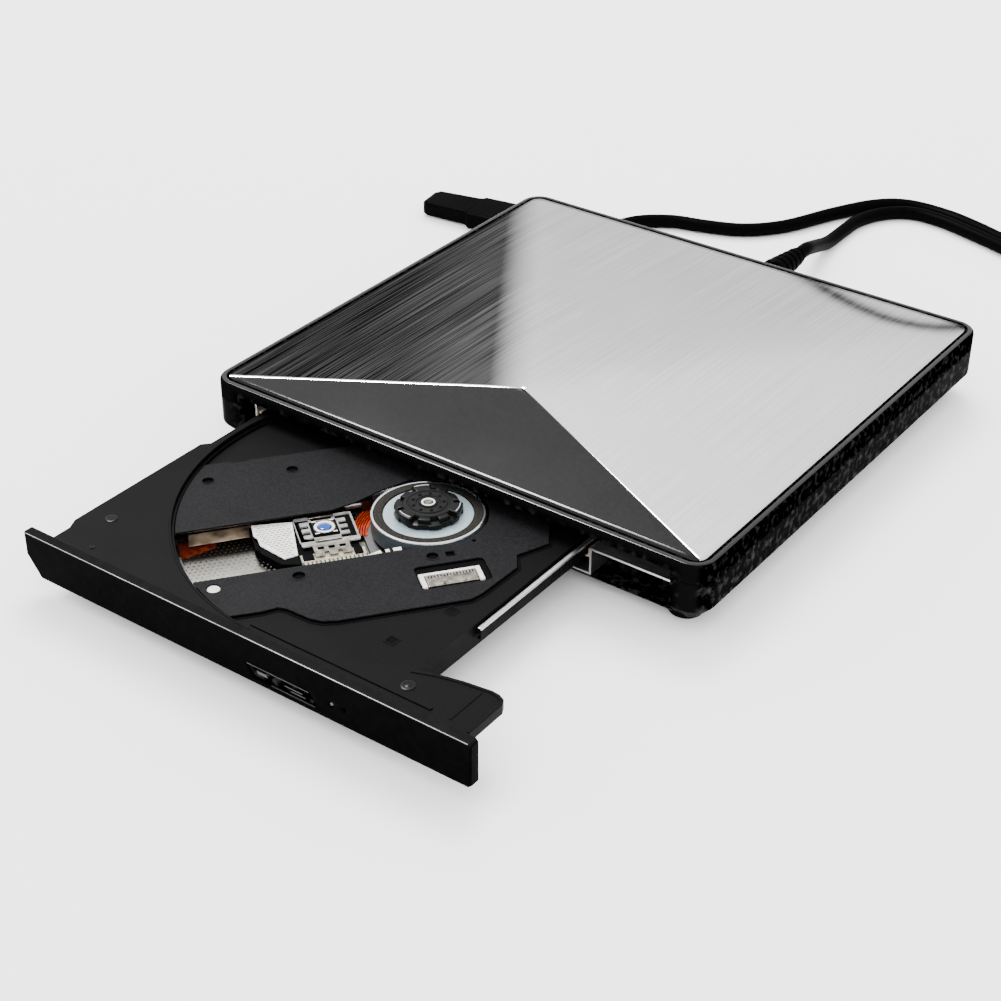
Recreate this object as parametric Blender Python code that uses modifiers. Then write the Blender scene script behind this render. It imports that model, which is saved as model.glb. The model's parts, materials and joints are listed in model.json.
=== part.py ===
"""External optical drive: a slim tray-loading disc drive in a case with a pyramid-shaped metal lid.

Lengths in this file are millimetres; the helpers turn them into Blender's metres. World +X is
to the right, the tray comes out towards -Y, and +Z is up. The origin is under the middle of the
object's box, with the tray part-way out and the cable left aside.
"""

import math

import bmesh
import bpy
from mathutils import Matrix, Vector

MM = 0.001

# Case, measured from its front face (y = 0) and from the surface it stands on (z = 0)
CASE_W = 150.0
CASE_D = 147.0
CASE_CORNER = 6.0
SHELL_BOTTOM = 2.2
SHELL_TOP = 14.3
SHELL_WALL = 1.6
SHELL_FLOOR = 1.2
CHAMFER = 4.5
SEAM_GAP = 0.3
FRAME_TOP = 19.5
FRAME_WALL = 1.8
FRAME_LEDGE = 6.5
LEDGE_TOP = 18.3
LID_INSET = 2.7
LID_CORNER = 3.0
LID_THICK = 0.9
APEX_Y = 35.0
APEX_Z = 25.9
MOUTH_LEFT = -65.2
MOUTH_RIGHT = 66.2
MOUTH_TOP = 16.7
FOOT_INSET = 9.4
FOOT_RADIUS = 4.8
FOOT_TOP = 1.9

# Drive mechanism inside the case
EJECT = 75.2
DRIVE_LEFT = -62.8
DRIVE_RIGHT = 65.2
DRIVE_BACK = 126.5
DRIVE_FLOOR = 3.7
DRIVE_WALL_TOP = 16.4
SHEET = 0.5
STEP_X = 42.2
SHELF_TOP = 11.2
RAIL_SHARE = 0.6
RAIL_FRONT = 7.0
RAIL_LENGTH = 101.0

# Tray, measured from the bezel's front face
BEZEL_LEFT = -64.4
BEZEL_RIGHT = 65.8
BEZEL_BOTTOM = 4.0
BEZEL_TOP = 15.6
BEZEL_THICK = 3.0
TRAY_LEFT = -60.0
TRAY_RIGHT = 39.6
TRAY_FRONT = 3.3
TRAY_BACK = 122.0
TRAY_BOTTOM = 6.5
TRAY_TOP = 14.3
TRAY_DECK = 12.0
RECESS_FLOOR = 12.6
RECESS_RADIUS = 61.0
COVER_LOW = 12.9
COVER_TOP = 13.3
SPINDLE = (4.5, 65.3)
SLED_TURN = math.radians(-128.0)
LENS_PLACE = (24.9, -2.4)
ROD_Z = 9.4

CABLE_DIAMETER = 4.3
CABLE_Z = 2.2
SOCKET_Z = 9.0
PORT_X = 3.0

ORIGIN_Y = (EJECT - CASE_D) / 2

for leftover in list(bpy.data.objects):
    bpy.data.objects.remove(leftover)

parts = bpy.data.collections.new("optical_drive")
cutters = bpy.data.collections.new("cutters")
for group in (parts, cutters):
    bpy.context.scene.collection.children.link(group)

FINISHES = {
    "black_plastic": ((0.018, 0.018, 0.02), 0.45, 0.0),
    "gloss_black": ((0.006, 0.006, 0.007), 0.12, 0.0),
    "tray_plastic": ((0.03, 0.03, 0.033), 0.6, 0.0),
    "textured_steel": ((0.05, 0.05, 0.058), 0.65, 0.3),
    "brushed_aluminium": ((0.62, 0.62, 0.64), 0.32, 1.0),
    "sheet_steel": ((0.55, 0.55, 0.57), 0.3, 1.0),
    "rotor_steel": ((0.6, 0.65, 0.68), 0.28, 1.0),
    "rubber": ((0.02, 0.02, 0.02), 0.85, 0.0),
    "rubber_pad": ((0.12, 0.12, 0.11), 0.8, 0.0),
    "circuit_board": ((0.02, 0.12, 0.05), 0.5, 0.0),
    "copper_flex": ((0.75, 0.22, 0.05), 0.4, 0.0),
    "white_plastic": ((0.7, 0.68, 0.62), 0.5, 0.0),
    "brass": ((0.75, 0.55, 0.25), 0.3, 1.0),
    "lens_glass": ((0.1, 0.25, 0.5), 0.05, 0.0),
    "led_lens": ((0.3, 0.35, 0.3), 0.2, 0.0),
    "cable_jacket": ((0.012, 0.012, 0.013), 0.5, 0.0),
}


def material(name):
    found = bpy.data.materials.get(name)
    if found:
        return found
    colour, roughness, metallic = FINISHES[name]
    made = bpy.data.materials.new(name)
    made.use_nodes = True
    shader = made.node_tree.nodes["Principled BSDF"]
    shader.inputs["Base Color"].default_value = (*colour, 1.0)
    shader.inputs["Roughness"].default_value = roughness
    shader.inputs["Metallic"].default_value = metallic
    return made


def axis_empty(name, x, y, z=0.0, turn=0.0, parent=None):
    """An empty on a joint's axis, or at the corner from which a group of parts is measured."""
    empty = bpy.data.objects.new(name, None)
    empty.empty_display_size = 10 * MM
    empty.location = Vector((x, y, z)) * MM
    empty.rotation_euler.z = turn
    empty.parent = parent
    parts.objects.link(empty)
    return empty


def add(name, bm, finish, parent, smooth=None):
    """Turns a bmesh in millimetres into a named object under its parent empty."""
    bmesh.ops.recalc_face_normals(bm, faces=bm.faces)
    bmesh.ops.scale(bm, vec=(MM, MM, MM), verts=bm.verts)
    mesh = bpy.data.meshes.new(name)
    bm.to_mesh(mesh)
    bm.free()
    obj = bpy.data.objects.new(name, mesh)
    obj.parent = parent
    if finish is None:
        cutters.objects.link(obj)
        obj.hide_render = True
        obj.display_type = "WIRE"
        return obj
    mesh.materials.append(material(finish))
    parts.objects.link(obj)
    if smooth:
        mesh.shade_smooth()
        mesh.set_sharp_from_angle(angle=math.radians(smooth))
    return obj


def combine(target, operation, *others):
    for other in others:
        step = target.modifiers.new(other.name, "BOOLEAN")
        step.operation = operation
        step.solver = "EXACT"
        step.object = other
    return target


def soften(obj, width, segments=2, angle=40):
    """Rounds the edges that are left after the cuts."""
    edge = obj.modifiers.new("rounded_edges", "BEVEL")
    edge.width = width * MM
    edge.segments = segments
    edge.limit_method = "ANGLE"
    edge.angle_limit = math.radians(angle)
    return obj


def box(name, low, high, finish=None, parent=None):
    bm = bmesh.new()
    bmesh.ops.create_cube(bm, size=1.0)
    middle = [(a + b) / 2 for a, b in zip(low, high)]
    size = [b - a for a, b in zip(low, high)]
    bmesh.ops.scale(bm, vec=size, verts=bm.verts)
    bmesh.ops.translate(bm, vec=middle, verts=bm.verts)
    return add(name, bm, finish, parent)


def rod(name, radius, start, end, finish=None, parent=None, sides=24, far_radius=None):
    """A cylinder or a cone between two points."""
    start, end = Vector(start), Vector(end)
    along = end - start
    bm = bmesh.new()
    bmesh.ops.create_cone(
        bm, cap_ends=True, segments=sides, depth=along.length,
        radius1=radius, radius2=radius if far_radius is None else far_radius,
    )
    turn = along.to_track_quat("Z", "Y").to_matrix().to_4x4()
    bmesh.ops.transform(bm, matrix=Matrix.Translation((start + end) / 2) @ turn, verts=bm.verts)
    return add(name, bm, finish, parent, smooth=40)


def prism(name, loops, low, high, finish=None, parent=None, upright=False):
    """A flat outline with holes, extruded along Z, or along Y when its points are (x, z)."""
    curve = bpy.data.curves.new(name, "CURVE")
    curve.dimensions = "2D"
    curve.fill_mode = "BOTH"
    curve.extrude = (high - low) / 2
    for loop in loops:
        spline = curve.splines.new("POLY")
        spline.points.add(len(loop) - 1)
        spline.use_cyclic_u = True
        for point, (a, b) in zip(spline.points, loop):
            point.co = (a, b, 0.0, 1.0)
    guide = bpy.data.objects.new(name + "_outline", curve)
    cutters.objects.link(guide)
    graph = bpy.context.evaluated_depsgraph_get()
    mesh = bpy.data.meshes.new_from_object(guide.evaluated_get(graph))
    bpy.data.objects.remove(guide)
    bm = bmesh.new()
    bm.from_mesh(mesh)
    bmesh.ops.remove_doubles(bm, verts=bm.verts, dist=0.001)
    if upright:
        bmesh.ops.rotate(bm, matrix=Matrix.Rotation(math.pi / 2, 3, "X"), verts=bm.verts)
        bmesh.ops.translate(bm, vec=(0, (low + high) / 2, 0), verts=bm.verts)
    else:
        bmesh.ops.translate(bm, vec=(0, 0, (low + high) / 2), verts=bm.verts)
    return add(name, bm, finish, parent, smooth=30)


def turned(name, profile, finish, parent, steps=48):
    """A turned piece about its parent's Z axis; the profile runs from top to bottom."""
    bm = bmesh.new()
    points = [bm.verts.new((radius, 0.0, z)) for radius, z in profile]
    for a, b in zip(points, points[1:]):
        bm.edges.new((a, b))
    obj = add(name, bm, finish, parent)
    screw = obj.modifiers.new("turn", "SCREW")
    screw.steps = steps
    screw.render_steps = steps
    screw.use_merge_vertices = True
    screw.merge_threshold = 0.00001
    screw.use_smooth_shade = True
    return obj


def rounded_rectangle(left, front, right, back, radius, steps=6):
    corners = (
        (right - radius, back - radius, 0),
        (left + radius, back - radius, 1),
        (left + radius, front + radius, 2),
        (right - radius, front + radius, 3),
    )
    loop = []
    for x, y, quarter in corners:
        for step in range(steps + 1):
            angle = (quarter + step / steps) * math.pi / 2
            loop.append((x + radius * math.cos(angle), y + radius * math.sin(angle)))
    return loop


def case_loop(inset, corner=CASE_CORNER):
    """The case's plan outline, moved inwards, with its corners kept concentric."""
    half = CASE_W / 2
    radius = max(corner - inset, 1.2)
    return rounded_rectangle(inset - half, inset, half - inset, CASE_D - inset, radius)


def circle(x, y, radius, sides=24):
    turns = [2 * math.pi * step / sides for step in range(sides)]
    return [(x + radius * math.cos(turn), y + radius * math.sin(turn)) for turn in turns]


def arc(centre, radius, start, end, steps):
    """Points on an arc between two angles in degrees."""
    turns = [math.radians(start + (end - start) * step / steps) for step in range(steps + 1)]
    return [(centre[0] + radius * math.cos(t), centre[1] + radius * math.sin(t)) for t in turns]


def lofted(name, rings, finish, parent, closed=False, smooth=30):
    """Skins plan outlines of equal count at their heights. It is capped, or closed into a ring."""
    bm = bmesh.new()
    rows = [[bm.verts.new((x, y, z)) for x, y in loop] for loop, z in rings]
    pairs = list(zip(rows, rows[1:])) + ([(rows[-1], rows[0])] if closed else [])
    for lower, upper in pairs:
        for i in range(len(lower)):
            j = (i + 1) % len(lower)
            bm.faces.new((lower[i], lower[j], upper[j], upper[i]))
    if not closed:
        bm.faces.new(rows[0])
        bm.faces.new(rows[-1])
    return add(name, bm, finish, parent, smooth)


def roof(name, rim, apex, thickness, finish, parent):
    """A sheet of facets from a rim on one level up to an apex; the rim may be open at its ends."""
    bm = bmesh.new()
    tops = [bm.verts.new((x, y, FRAME_TOP)) for x, y in rim]
    lows = [bm.verts.new((x, y, FRAME_TOP - thickness)) for x, y in rim]
    peak = bm.verts.new(apex)
    under = bm.verts.new((apex[0], apex[1], apex[2] - thickness))
    for i in range(len(rim) - 1):
        bm.faces.new((tops[i], tops[i + 1], peak))
        bm.faces.new((lows[i + 1], lows[i], under))
        bm.faces.new((lows[i], lows[i + 1], tops[i + 1], tops[i]))
    bm.faces.new((lows[0], tops[0], peak, under))
    bm.faces.new((tops[-1], lows[-1], under, peak))
    return add(name, bm, finish, parent)


def smooth_route(knots, spacing):
    """Evenly spaced points on a Catmull-Rom curve through the knots."""
    knots = [Vector(knot) for knot in knots]
    padded = [2 * knots[0] - knots[1], *knots, 2 * knots[-1] - knots[-2]]
    fine = []
    for a, b, c, d in zip(padded, padded[1:], padded[2:], padded[3:]):
        for step in range(20):
            t = step / 20
            fine.append(
                0.5 * (2 * b + (c - a) * t + (2 * a - 5 * b + 4 * c - d) * t**2
                       + (3 * b - a - 3 * c + d) * t**3)
            )
    fine.append(knots[-1])
    total = sum((b - a).length for a, b in zip(fine, fine[1:]))
    count = round(total / spacing)
    route = [fine[0]]
    walked = 0.0
    for a, b in zip(fine, fine[1:]):
        length = (b - a).length
        while len(route) < count and walked + length >= len(route) * total / count:
            route.append(a.lerp(b, (len(route) * total / count - walked) / length))
        walked += length
    return [*route, fine[-1]]


case = axis_empty("case_front", 0, ORIGIN_Y)
tray_axis = axis_empty("tray_slide_axis", 0, ORIGIN_Y - EJECT)
rail_axis = axis_empty("rail_slide_axis", 0, ORIGIN_Y - EJECT * RAIL_SHARE)
spindle_axis = axis_empty("spindle_axis", *SPINDLE, parent=tray_axis)
sled_axis = axis_empty("sled_axis", *SPINDLE, turn=SLED_TURN, parent=tray_axis)


# ---------------------------------------------------------------- case

def make_bottom_shell():
    """A tub with chamfered lower edges, open at the front for the tray."""
    floor = SHELL_BOTTOM + SHELL_FLOOR
    inner = CHAMFER + 0.6
    rings = [
        (case_loop(CHAMFER), SHELL_BOTTOM),
        (case_loop(0), SHELL_BOTTOM + CHAMFER),
        (case_loop(0), SHELL_TOP),
        (case_loop(SHELL_WALL), SHELL_TOP),
        (case_loop(SHELL_WALL), SHELL_BOTTOM + CHAMFER + 0.7),
        (case_loop(inner), floor),
    ]
    shell = lofted("bottom_shell", rings, "black_plastic", case)
    mouth = box("mouth_cut", (MOUTH_LEFT, -2, floor + 0.1), (MOUTH_RIGHT, 6.5, 30), parent=case)
    port = box("port_cut", (PORT_X - 6.4, CASE_D - 4, 5.0), (PORT_X + 6.4, CASE_D + 3, 13.0), parent=case)
    combine(shell, "DIFFERENCE", mouth, port)
    for x, y in screw_places():
        sink = rod("sink_cut", 2.5, (x, y, 1), (x, y, SHELL_BOTTOM + 0.7), parent=case, sides=16)
        combine(shell, "DIFFERENCE", sink)


def screw_places():
    return [(x, y) for y in (30.0, 118.0) for x in (-48.0, 48.0)]


def make_top_frame():
    """The gloss rim round the lid, with an inner ledge that the lid rests on."""
    low = SHELL_TOP + SEAM_GAP
    section = [
        (0, low), (0, FRAME_TOP - 0.8), (0.25, FRAME_TOP - 0.25), (0.8, FRAME_TOP),
        (LID_INSET - 0.3, FRAME_TOP), (LID_INSET - 0.3, LEDGE_TOP), (FRAME_LEDGE, LEDGE_TOP),
        (FRAME_LEDGE, LEDGE_TOP - 0.8), (FRAME_WALL, LEDGE_TOP - 0.8), (FRAME_WALL, low),
    ]
    rings = [(case_loop(inset), z) for inset, z in section]
    frame = lofted("top_frame", rings, "gloss_black", case, closed=True)
    notch = box("notch_cut", (MOUTH_LEFT, -2, 10), (MOUTH_RIGHT, 3.5, MOUTH_TOP), parent=case)
    combine(frame, "DIFFERENCE", notch)


def make_lid():
    """Three brushed facets in one sheet, and a gloss facet of its own at the front."""
    half = CASE_W / 2 - LID_INSET
    loop = rounded_rectangle(-half, LID_INSET, half, CASE_D - LID_INSET, LID_CORNER, 4)
    middle_front = 13
    rim = loop[middle_front + 2:] + loop[:middle_front]
    roof("lid_panel", rim, (0, APEX_Y, APEX_Z), LID_THICK, "brushed_aluminium", case)
    left, right = loop[middle_front + 1], loop[middle_front + 2]
    front_rim = [(left[0] + 0.8, left[1]), (right[0] - 0.8, right[1])]
    apex = (0, APEX_Y - 0.7, APEX_Z - 0.14)
    roof("front_facet", front_rim, apex, LID_THICK, "gloss_black", case)


def make_feet_and_screws():
    near, far = FOOT_INSET, CASE_D - FOOT_INSET
    side = CASE_W / 2 - FOOT_INSET
    places = {
        "foot_front_left": (-side, near), "foot_front_right": (side, near),
        "foot_rear_left": (-side, far), "foot_rear_right": (side, far),
    }
    for name, (x, y) in places.items():
        rod(name, FOOT_RADIUS - 0.6, (x, y, 0), (x, y, FOOT_TOP), "rubber", case, 24, FOOT_RADIUS)
    for number, (x, y) in enumerate(screw_places(), 1):
        rod(f"case_screw_{number}", 2.1, (x, y, 2.0), (x, y, 2.6), "sheet_steel", case, 16)


# ---------------------------------------------------------------- fixed part of the drive

def make_drive_chassis():
    """Folded sheet: a deep bay for the tray and, at the right, a shelf that the disc passes over."""
    low, top = DRIVE_FLOOR, DRIVE_WALL_TOP
    shelf = SHELF_TOP
    outline = [
        (DRIVE_LEFT, top), (DRIVE_LEFT, low), (STEP_X + SHEET, low),
        (STEP_X + SHEET, shelf - SHEET), (DRIVE_RIGHT, shelf - SHEET), (DRIVE_RIGHT, top),
        (DRIVE_RIGHT - SHEET, top), (DRIVE_RIGHT - SHEET, shelf), (STEP_X, shelf),
        (STEP_X, low + SHEET), (DRIVE_LEFT + SHEET, low + SHEET), (DRIVE_LEFT + SHEET, top),
    ]
    chassis = prism("drive_chassis", [outline], 3.3, DRIVE_BACK, "sheet_steel", case, upright=True)
    back = [
        (DRIVE_LEFT + 0.1, top - 0.01), (DRIVE_LEFT + 0.1, low + 0.1), (STEP_X + 0.3, low + 0.1),
        (STEP_X + 0.3, shelf - 0.3), (DRIVE_RIGHT - 0.1, shelf - 0.3), (DRIVE_RIGHT - 0.1, top - 0.01),
    ]
    wall = prism("back_wall", [back], DRIVE_BACK - SHEET, DRIVE_BACK - 0.01, None, case, upright=True)
    socket = box("socket_cut", (-49, 120, 5.7), (-13, 140, 11.3), parent=case)
    floor_window = box("floor_window_cut", (-30, 20, 3), (10, 60, 5), parent=case)
    combine(chassis, "UNION", wall)
    combine(chassis, "DIFFERENCE", socket, floor_window)


def make_drive_fixtures():
    cover = rounded_rectangle(DRIVE_LEFT, 2.2, DRIVE_RIGHT, DRIVE_BACK, 1.5, 3)
    prism("drive_top_cover", [cover], MOUTH_TOP, MOUTH_TOP + SHEET, "sheet_steel", case)
    left = DRIVE_LEFT + SHEET + 0.3
    channel = [
        (left, 8.0), (left + 1.6, 8.0), (left + 1.6, 8.4), (left + 0.6, 8.4), (left + 0.6, 12.0), (left, 12.0),
    ]
    prism("guide_rail_left", [channel], 4, 118, "white_plastic", case, upright=True)
    right = STEP_X - 0.3
    channel = [
        (right, 8.0), (right - 1.8, 8.0), (right - 1.8, 8.4), (right - 0.5, 8.4), (right - 0.5, 10.4), (right, 10.4),
    ]
    prism("guide_rail_right", [channel], 4, 118, "white_plastic", case, upright=True)
    box("drive_main_board", (-55, 70, 4.6), (35, 124, 5.4), "circuit_board", case)
    box("drive_socket", (-48, 124.5, 6.2), (-14, 129.4, 10.8), "black_plastic", case)
    box("bridge_board", (-40, 129.8, 5.0), (40, 142.4, 6.0), "circuit_board", case)
    rim = rounded_rectangle(PORT_X - 6.0, 6.4, PORT_X + 6.0, 11.6, 1.2, 3)
    hole = rounded_rectangle(PORT_X - 5.2, 7.2, PORT_X + 5.2, 10.8, 0.8, 3)
    socket = prism("usb_socket", [rim], 138.4, 146.8, "sheet_steel", case, upright=True)
    cavity = prism("socket_cavity", [hole], 140.0, 150.0, None, case, upright=True)
    combine(socket, "DIFFERENCE", cavity)


# ---------------------------------------------------------------- sliding rails

def make_slide_rails():
    left = TRAY_LEFT - 0.3
    back = RAIL_FRONT + RAIL_LENGTH
    box("slide_rail_left", (left - 0.8, RAIL_FRONT, 8.7), (left, back, 11.6), "sheet_steel", rail_axis)
    right = TRAY_RIGHT + 0.3
    section = [
        (right, 8.7), (right + 1.2, 8.7), (right + 1.2, 11.7), (right, 11.7),
        (right, 11.3), (right + 0.7, 11.3), (right + 0.7, 9.1), (right, 9.1),
    ]
    prism("slide_rail_right", [section], RAIL_FRONT, back, "sheet_steel", rail_axis, upright=True)


# ---------------------------------------------------------------- tray

def sled_point(along, across):
    """A point given along and across the pickup's travel, in the tray's own plan."""
    cos, sin = math.cos(SLED_TURN), math.sin(SLED_TURN)
    return (SPINDLE[0] + along * cos - across * sin, SPINDLE[1] + along * sin + across * cos)


def wing_outline():
    """The stub of tray to the right of the cut edge, which backs the bezel's right end."""
    return [
        (30.0, TRAY_FRONT), (62.4, TRAY_FRONT), (62.4, 15.6), (61.6, 17.2), (60.0, 18.0),
        (58.0, 18.2), (51.0, 17.2), (45.0, 15.8), (39.6, 13.8), (30.0, 13.8),
    ]


def make_tray():
    left, right = TRAY_LEFT, TRAY_RIGHT
    outline = [
        (left + 1.4, TRAY_FRONT), (right, TRAY_FRONT), (right, TRAY_BACK), (left + 1.8, TRAY_BACK),
        (left + 1.8, 57.0), (left, 55.0), (left, 12.0), (left + 1.4, 9.0),
    ]
    tray = prism("tray", [outline], TRAY_BOTTOM, TRAY_TOP, "tray_plastic", tray_axis)
    wing = prism("tray_wing", [wing_outline()], TRAY_DECK, TRAY_TOP, None, tray_axis)
    hollow = box("hollow_cut", (left + 3.2, 5.0, 4), (right - 1.6, TRAY_BACK - 1.5, TRAY_DECK), parent=tray_axis)
    recess = rod(
        "recess_cut", RECESS_RADIUS, (*SPINDLE, RECESS_FLOOR), (*SPINDLE, 18),
        parent=tray_axis, sides=128,
    )
    slot_floor = [(0, -13), (16, -11), (22, -9), (59.6, -9), (60.5, -2), (60.5, 3), (59.4, 10), (58.2, 15), (0, 15)]
    slot = prism("slot_cut", [slot_floor], 10, 15, None, sled_axis)
    well = rod("well_cut", 17.5, (*SPINDLE, 10), (*SPINDLE, 15), parent=tray_axis, sides=48)
    window = box("switch_window_cut", (3.5, 2, 5), (27, 6, 9.6), parent=tray_axis)
    combine(tray, "UNION", wing)
    combine(tray, "DIFFERENCE", hollow, recess, slot, well, window)


def make_bezel():
    """The front panel: its lower left corner is cut away to follow the case's chamfer."""
    outline = [
        (BEZEL_LEFT, BEZEL_TOP), (BEZEL_LEFT, 9.5), (BEZEL_LEFT + 4.2, BEZEL_BOTTOM),
        (BEZEL_RIGHT, BEZEL_BOTTOM), (BEZEL_RIGHT, BEZEL_TOP),
    ]
    bezel = prism("bezel", [outline], 0, BEZEL_THICK, "gloss_black", tray_axis, upright=True)
    opening = [(4.6, 8.9), (22.7, 8.9), (24.7, 5.8), (6.6, 5.8)]
    hole = prism("button_cut", [opening], -2, 6, None, tray_axis, upright=True)
    lamp = rod("lamp_cut", 1.1, (28.9, -2, 8.6), (28.9, 6, 8.6), parent=tray_axis, sides=16)
    pinhole = rod("pinhole_cut", 0.6, (32.4, -2, 8.7), (32.4, 6, 8.7), parent=tray_axis, sides=12)
    combine(bezel, "DIFFERENCE", hole, lamp, pinhole)
    soften(bezel, 0.35, 2, 50)
    rod("led_window", 0.8, (28.9, 0.05, 8.6), (28.9, 2.9, 8.6), "led_lens", tray_axis, 16)


def make_eject_button():
    face = [(5.1, 8.6), (22.5, 8.6), (24.2, 6.1), (6.8, 6.1)]
    button = prism("eject_button", [face], 0.15, 2.6, "gloss_black", tray_axis, upright=True)
    soften(button, 0.2, 1, 40)
    box("eject_switch", (12.0, 3.9, 6.7), (17.0, 7.0, 8.7), "sheet_steel", tray_axis)
    box("tray_board", (3.0, 7.4, 6.7), (37.0, 15.0, 7.3), "circuit_board", tray_axis)


def make_latch():
    """The hooked lever that holds the tray shut, and the coil that pulls it aside."""
    hook = [
        (22.0, 21.8), (32.0, 21.8), (32.6, 22.4), (32.6, 27.4), (36.4, 27.4), (35.4, 28.9),
        (30.4, 28.9), (30.0, 28.0), (30.0, 24.2), (22.0, 24.2),
    ]
    pivot = circle(31.3, 23.1, 0.6, 12)
    local = [[(x - 31.3, y - 23.1) for x, y in loop] for loop in (hook, pivot)]
    pivot_axis = axis_empty("latch_axis", 31.3, 23.1, parent=tray_axis)
    prism("latch_lever", local, 6.8, 7.6, "sheet_steel", pivot_axis)
    box("latch_solenoid", (16.5, 25.2, 6.8), (26.5, 33.0, 11.0), "black_plastic", tray_axis)


def make_mechanism_cover():
    """The textured plate in the disc recess, slotted for the pickup and pierced for the spindle."""
    left, right = -36.0, 36.6
    edge = RECESS_RADIUS - 0.9
    outline = arc((0, 0), edge, -math.degrees(math.asin(-left / edge)), 28.5, 24)
    outline += [
        (45.2, 28.8), (41.9, 28.2), (40.0, 29.2), (38.0, 31.6), (35.6, 34.4), (33.2, 35.9), (30.0, right),
        (-0.6, right), (-3.8, 35.0), (-14.1, 27.4), (-15.4, 22.6), (-24.0, 20.0), (-28.0, 8.0), (-28.0, -20.0),
        (-18.0, -34.0), (-10.0, left + 0.5), (37.0, left + 0.5), (38.0, left + 0.9), (41.0, left + 0.9), (42.0, left),
    ]
    holes = [
        circle(48.5, -28.4, 1.45, 16), circle(27.6, -28.2, 1.45, 16), circle(54.4, 17.2, 1.6, 16),
        circle(34.9, 17.4, 1.5, 16), circle(3.6, 17.9, 1.42, 16), circle(-7.4, 14.2, 0.5, 8),
        rounded_rectangle(-1.7, 17.0, 0.4, 19.0, 0.2, 1),
    ]
    window = rounded_rectangle(-7.6, 21.3, 9.1, 30.3, 1.2, 3)
    cover = prism(
        "mechanism_cover", [outline, *holes, window], COVER_LOW, COVER_TOP, "textured_steel", sled_axis,
    )
    opening = [(0, -16), (8.5, -13.1), (15.7, -9.5), (22.1, -7.6), (75, -7.6), (75, 13.65), (0, 13.65)]
    slot = prism("cover_slot_cut", [opening], 10, 16, None, sled_axis)
    well = rod("cover_well_cut", 14.6, (*SPINDLE, 10), (*SPINDLE, 16), parent=tray_axis, sides=64)
    combine(cover, "DIFFERENCE", slot, well)
    box("flex_connector", (-5.8, 24.4, COVER_LOW), (8.8, 30.0, 13.6), "sheet_steel", sled_axis)


def make_traverse():
    """The frame under the cover that carries the spindle motor, the guide rods and the sled motor."""
    outer = [(-19, -15.9), (15.5, -15.9), (15.5, -21), (63.2, -21), (63.2, 10), (57, 23), (-19, 23)]
    inner = [(15.5, -12.4), (59, -12.4), (59, 8), (54, 18.8), (15.5, 18.8)]
    frame = prism("traverse_frame", [outer, inner], 7.2, 8.0, "sheet_steel", sled_axis)
    for along in (10.8, 59.9):
        ear = box(f"main_ear_{along}", (along, -15.9, 7.6), (along + 2.8, -12.5, 11.2), parent=sled_axis)
        combine(frame, "UNION", ear)
    for along in (10.8, 54.4):
        ear = box(f"side_ear_{along}", (along, 19.3, 7.6), (along + 2.6, 22.7, 11.0), parent=sled_axis)
        combine(frame, "UNION", ear)
    ear = box("screw_ear", (57.0, -20.6, 7.6), (59.5, -16.4, 11.2), parent=sled_axis)
    combine(frame, "UNION", ear)
    bores = {"main": (8, -14.2, 1.3), "side": (8, 21.0, 1.1), "screw": (14.6, -18.5, 1.4)}
    for name, (start, across, radius) in bores.items():
        bore = rod(
            f"{name}_bore", radius, (start, across, ROD_Z), (66, across, ROD_Z), parent=sled_axis, sides=16,
        )
        combine(frame, "DIFFERENCE", bore)
    rod("guide_rod_main", 1.0, (10.9, -14.2, ROD_Z), (62.6, -14.2, ROD_Z), "sheet_steel", sled_axis, 16)
    rod("guide_rod_side", 0.8, (10.9, 21.0, ROD_Z), (56.8, 21.0, ROD_Z), "sheet_steel", sled_axis, 16)
    rod("sled_motor", 2.4, (0.5, -18.5, ROD_Z), (13.2, -18.5, ROD_Z), "sheet_steel", sled_axis, 24)
    rod("lead_screw", 1.1, (13.5, -18.5, ROD_Z), (59.3, -18.5, ROD_Z), "brass", sled_axis, 12)
    rod("spindle_base", 11.0, (0, 0, 8.2), (0, 0, 8.8), "sheet_steel", sled_axis, 32)
    box("spindle_flex", (11.4, -7, 8.1), (17.5, 7, 8.3), "copper_flex", sled_axis)


def make_spindle():
    rotor = [
        (0.0, 13.2), (10.95, 13.2), (10.95, 12.9), (13.3, 12.9), (13.3, 13.6), (13.7, 13.6),
        (13.9, 13.4), (13.9, 9.0), (0.0, 9.0),
    ]
    turned("turntable", rotor, "rotor_steel", spindle_axis)
    pad = [(11.15, 13.7), (13.1, 13.7), (13.1, 13.2), (11.15, 13.2), (11.15, 13.7)]
    turned("turntable_pad", pad, "rubber_pad", spindle_axis)
    hub = [
        (1.75, 15.9), (6.2, 15.9), (7.0, 15.4), (7.4, 14.6), (7.4, 13.5), (1.75, 13.5), (1.75, 15.9),
    ]
    hub_body = turned("clamp_hub", hub, "black_plastic", spindle_axis)
    for turn in (20, 140, 260):
        angle = math.radians(turn)
        out = Vector((math.cos(angle), math.sin(angle), 0))
        lift = Vector((0, 0, 15.25))
        jaw = rod(f"jaw_{turn}", 0.4, out * 4 + lift, out * 8.1 + lift, parent=spindle_axis, sides=8)
        combine(hub_body, "UNION", jaw)
    rod("spindle_shaft", 1.2, (0, 0, 13.5), (0, 0, 16.1), "sheet_steel", spindle_axis, 20)


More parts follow.
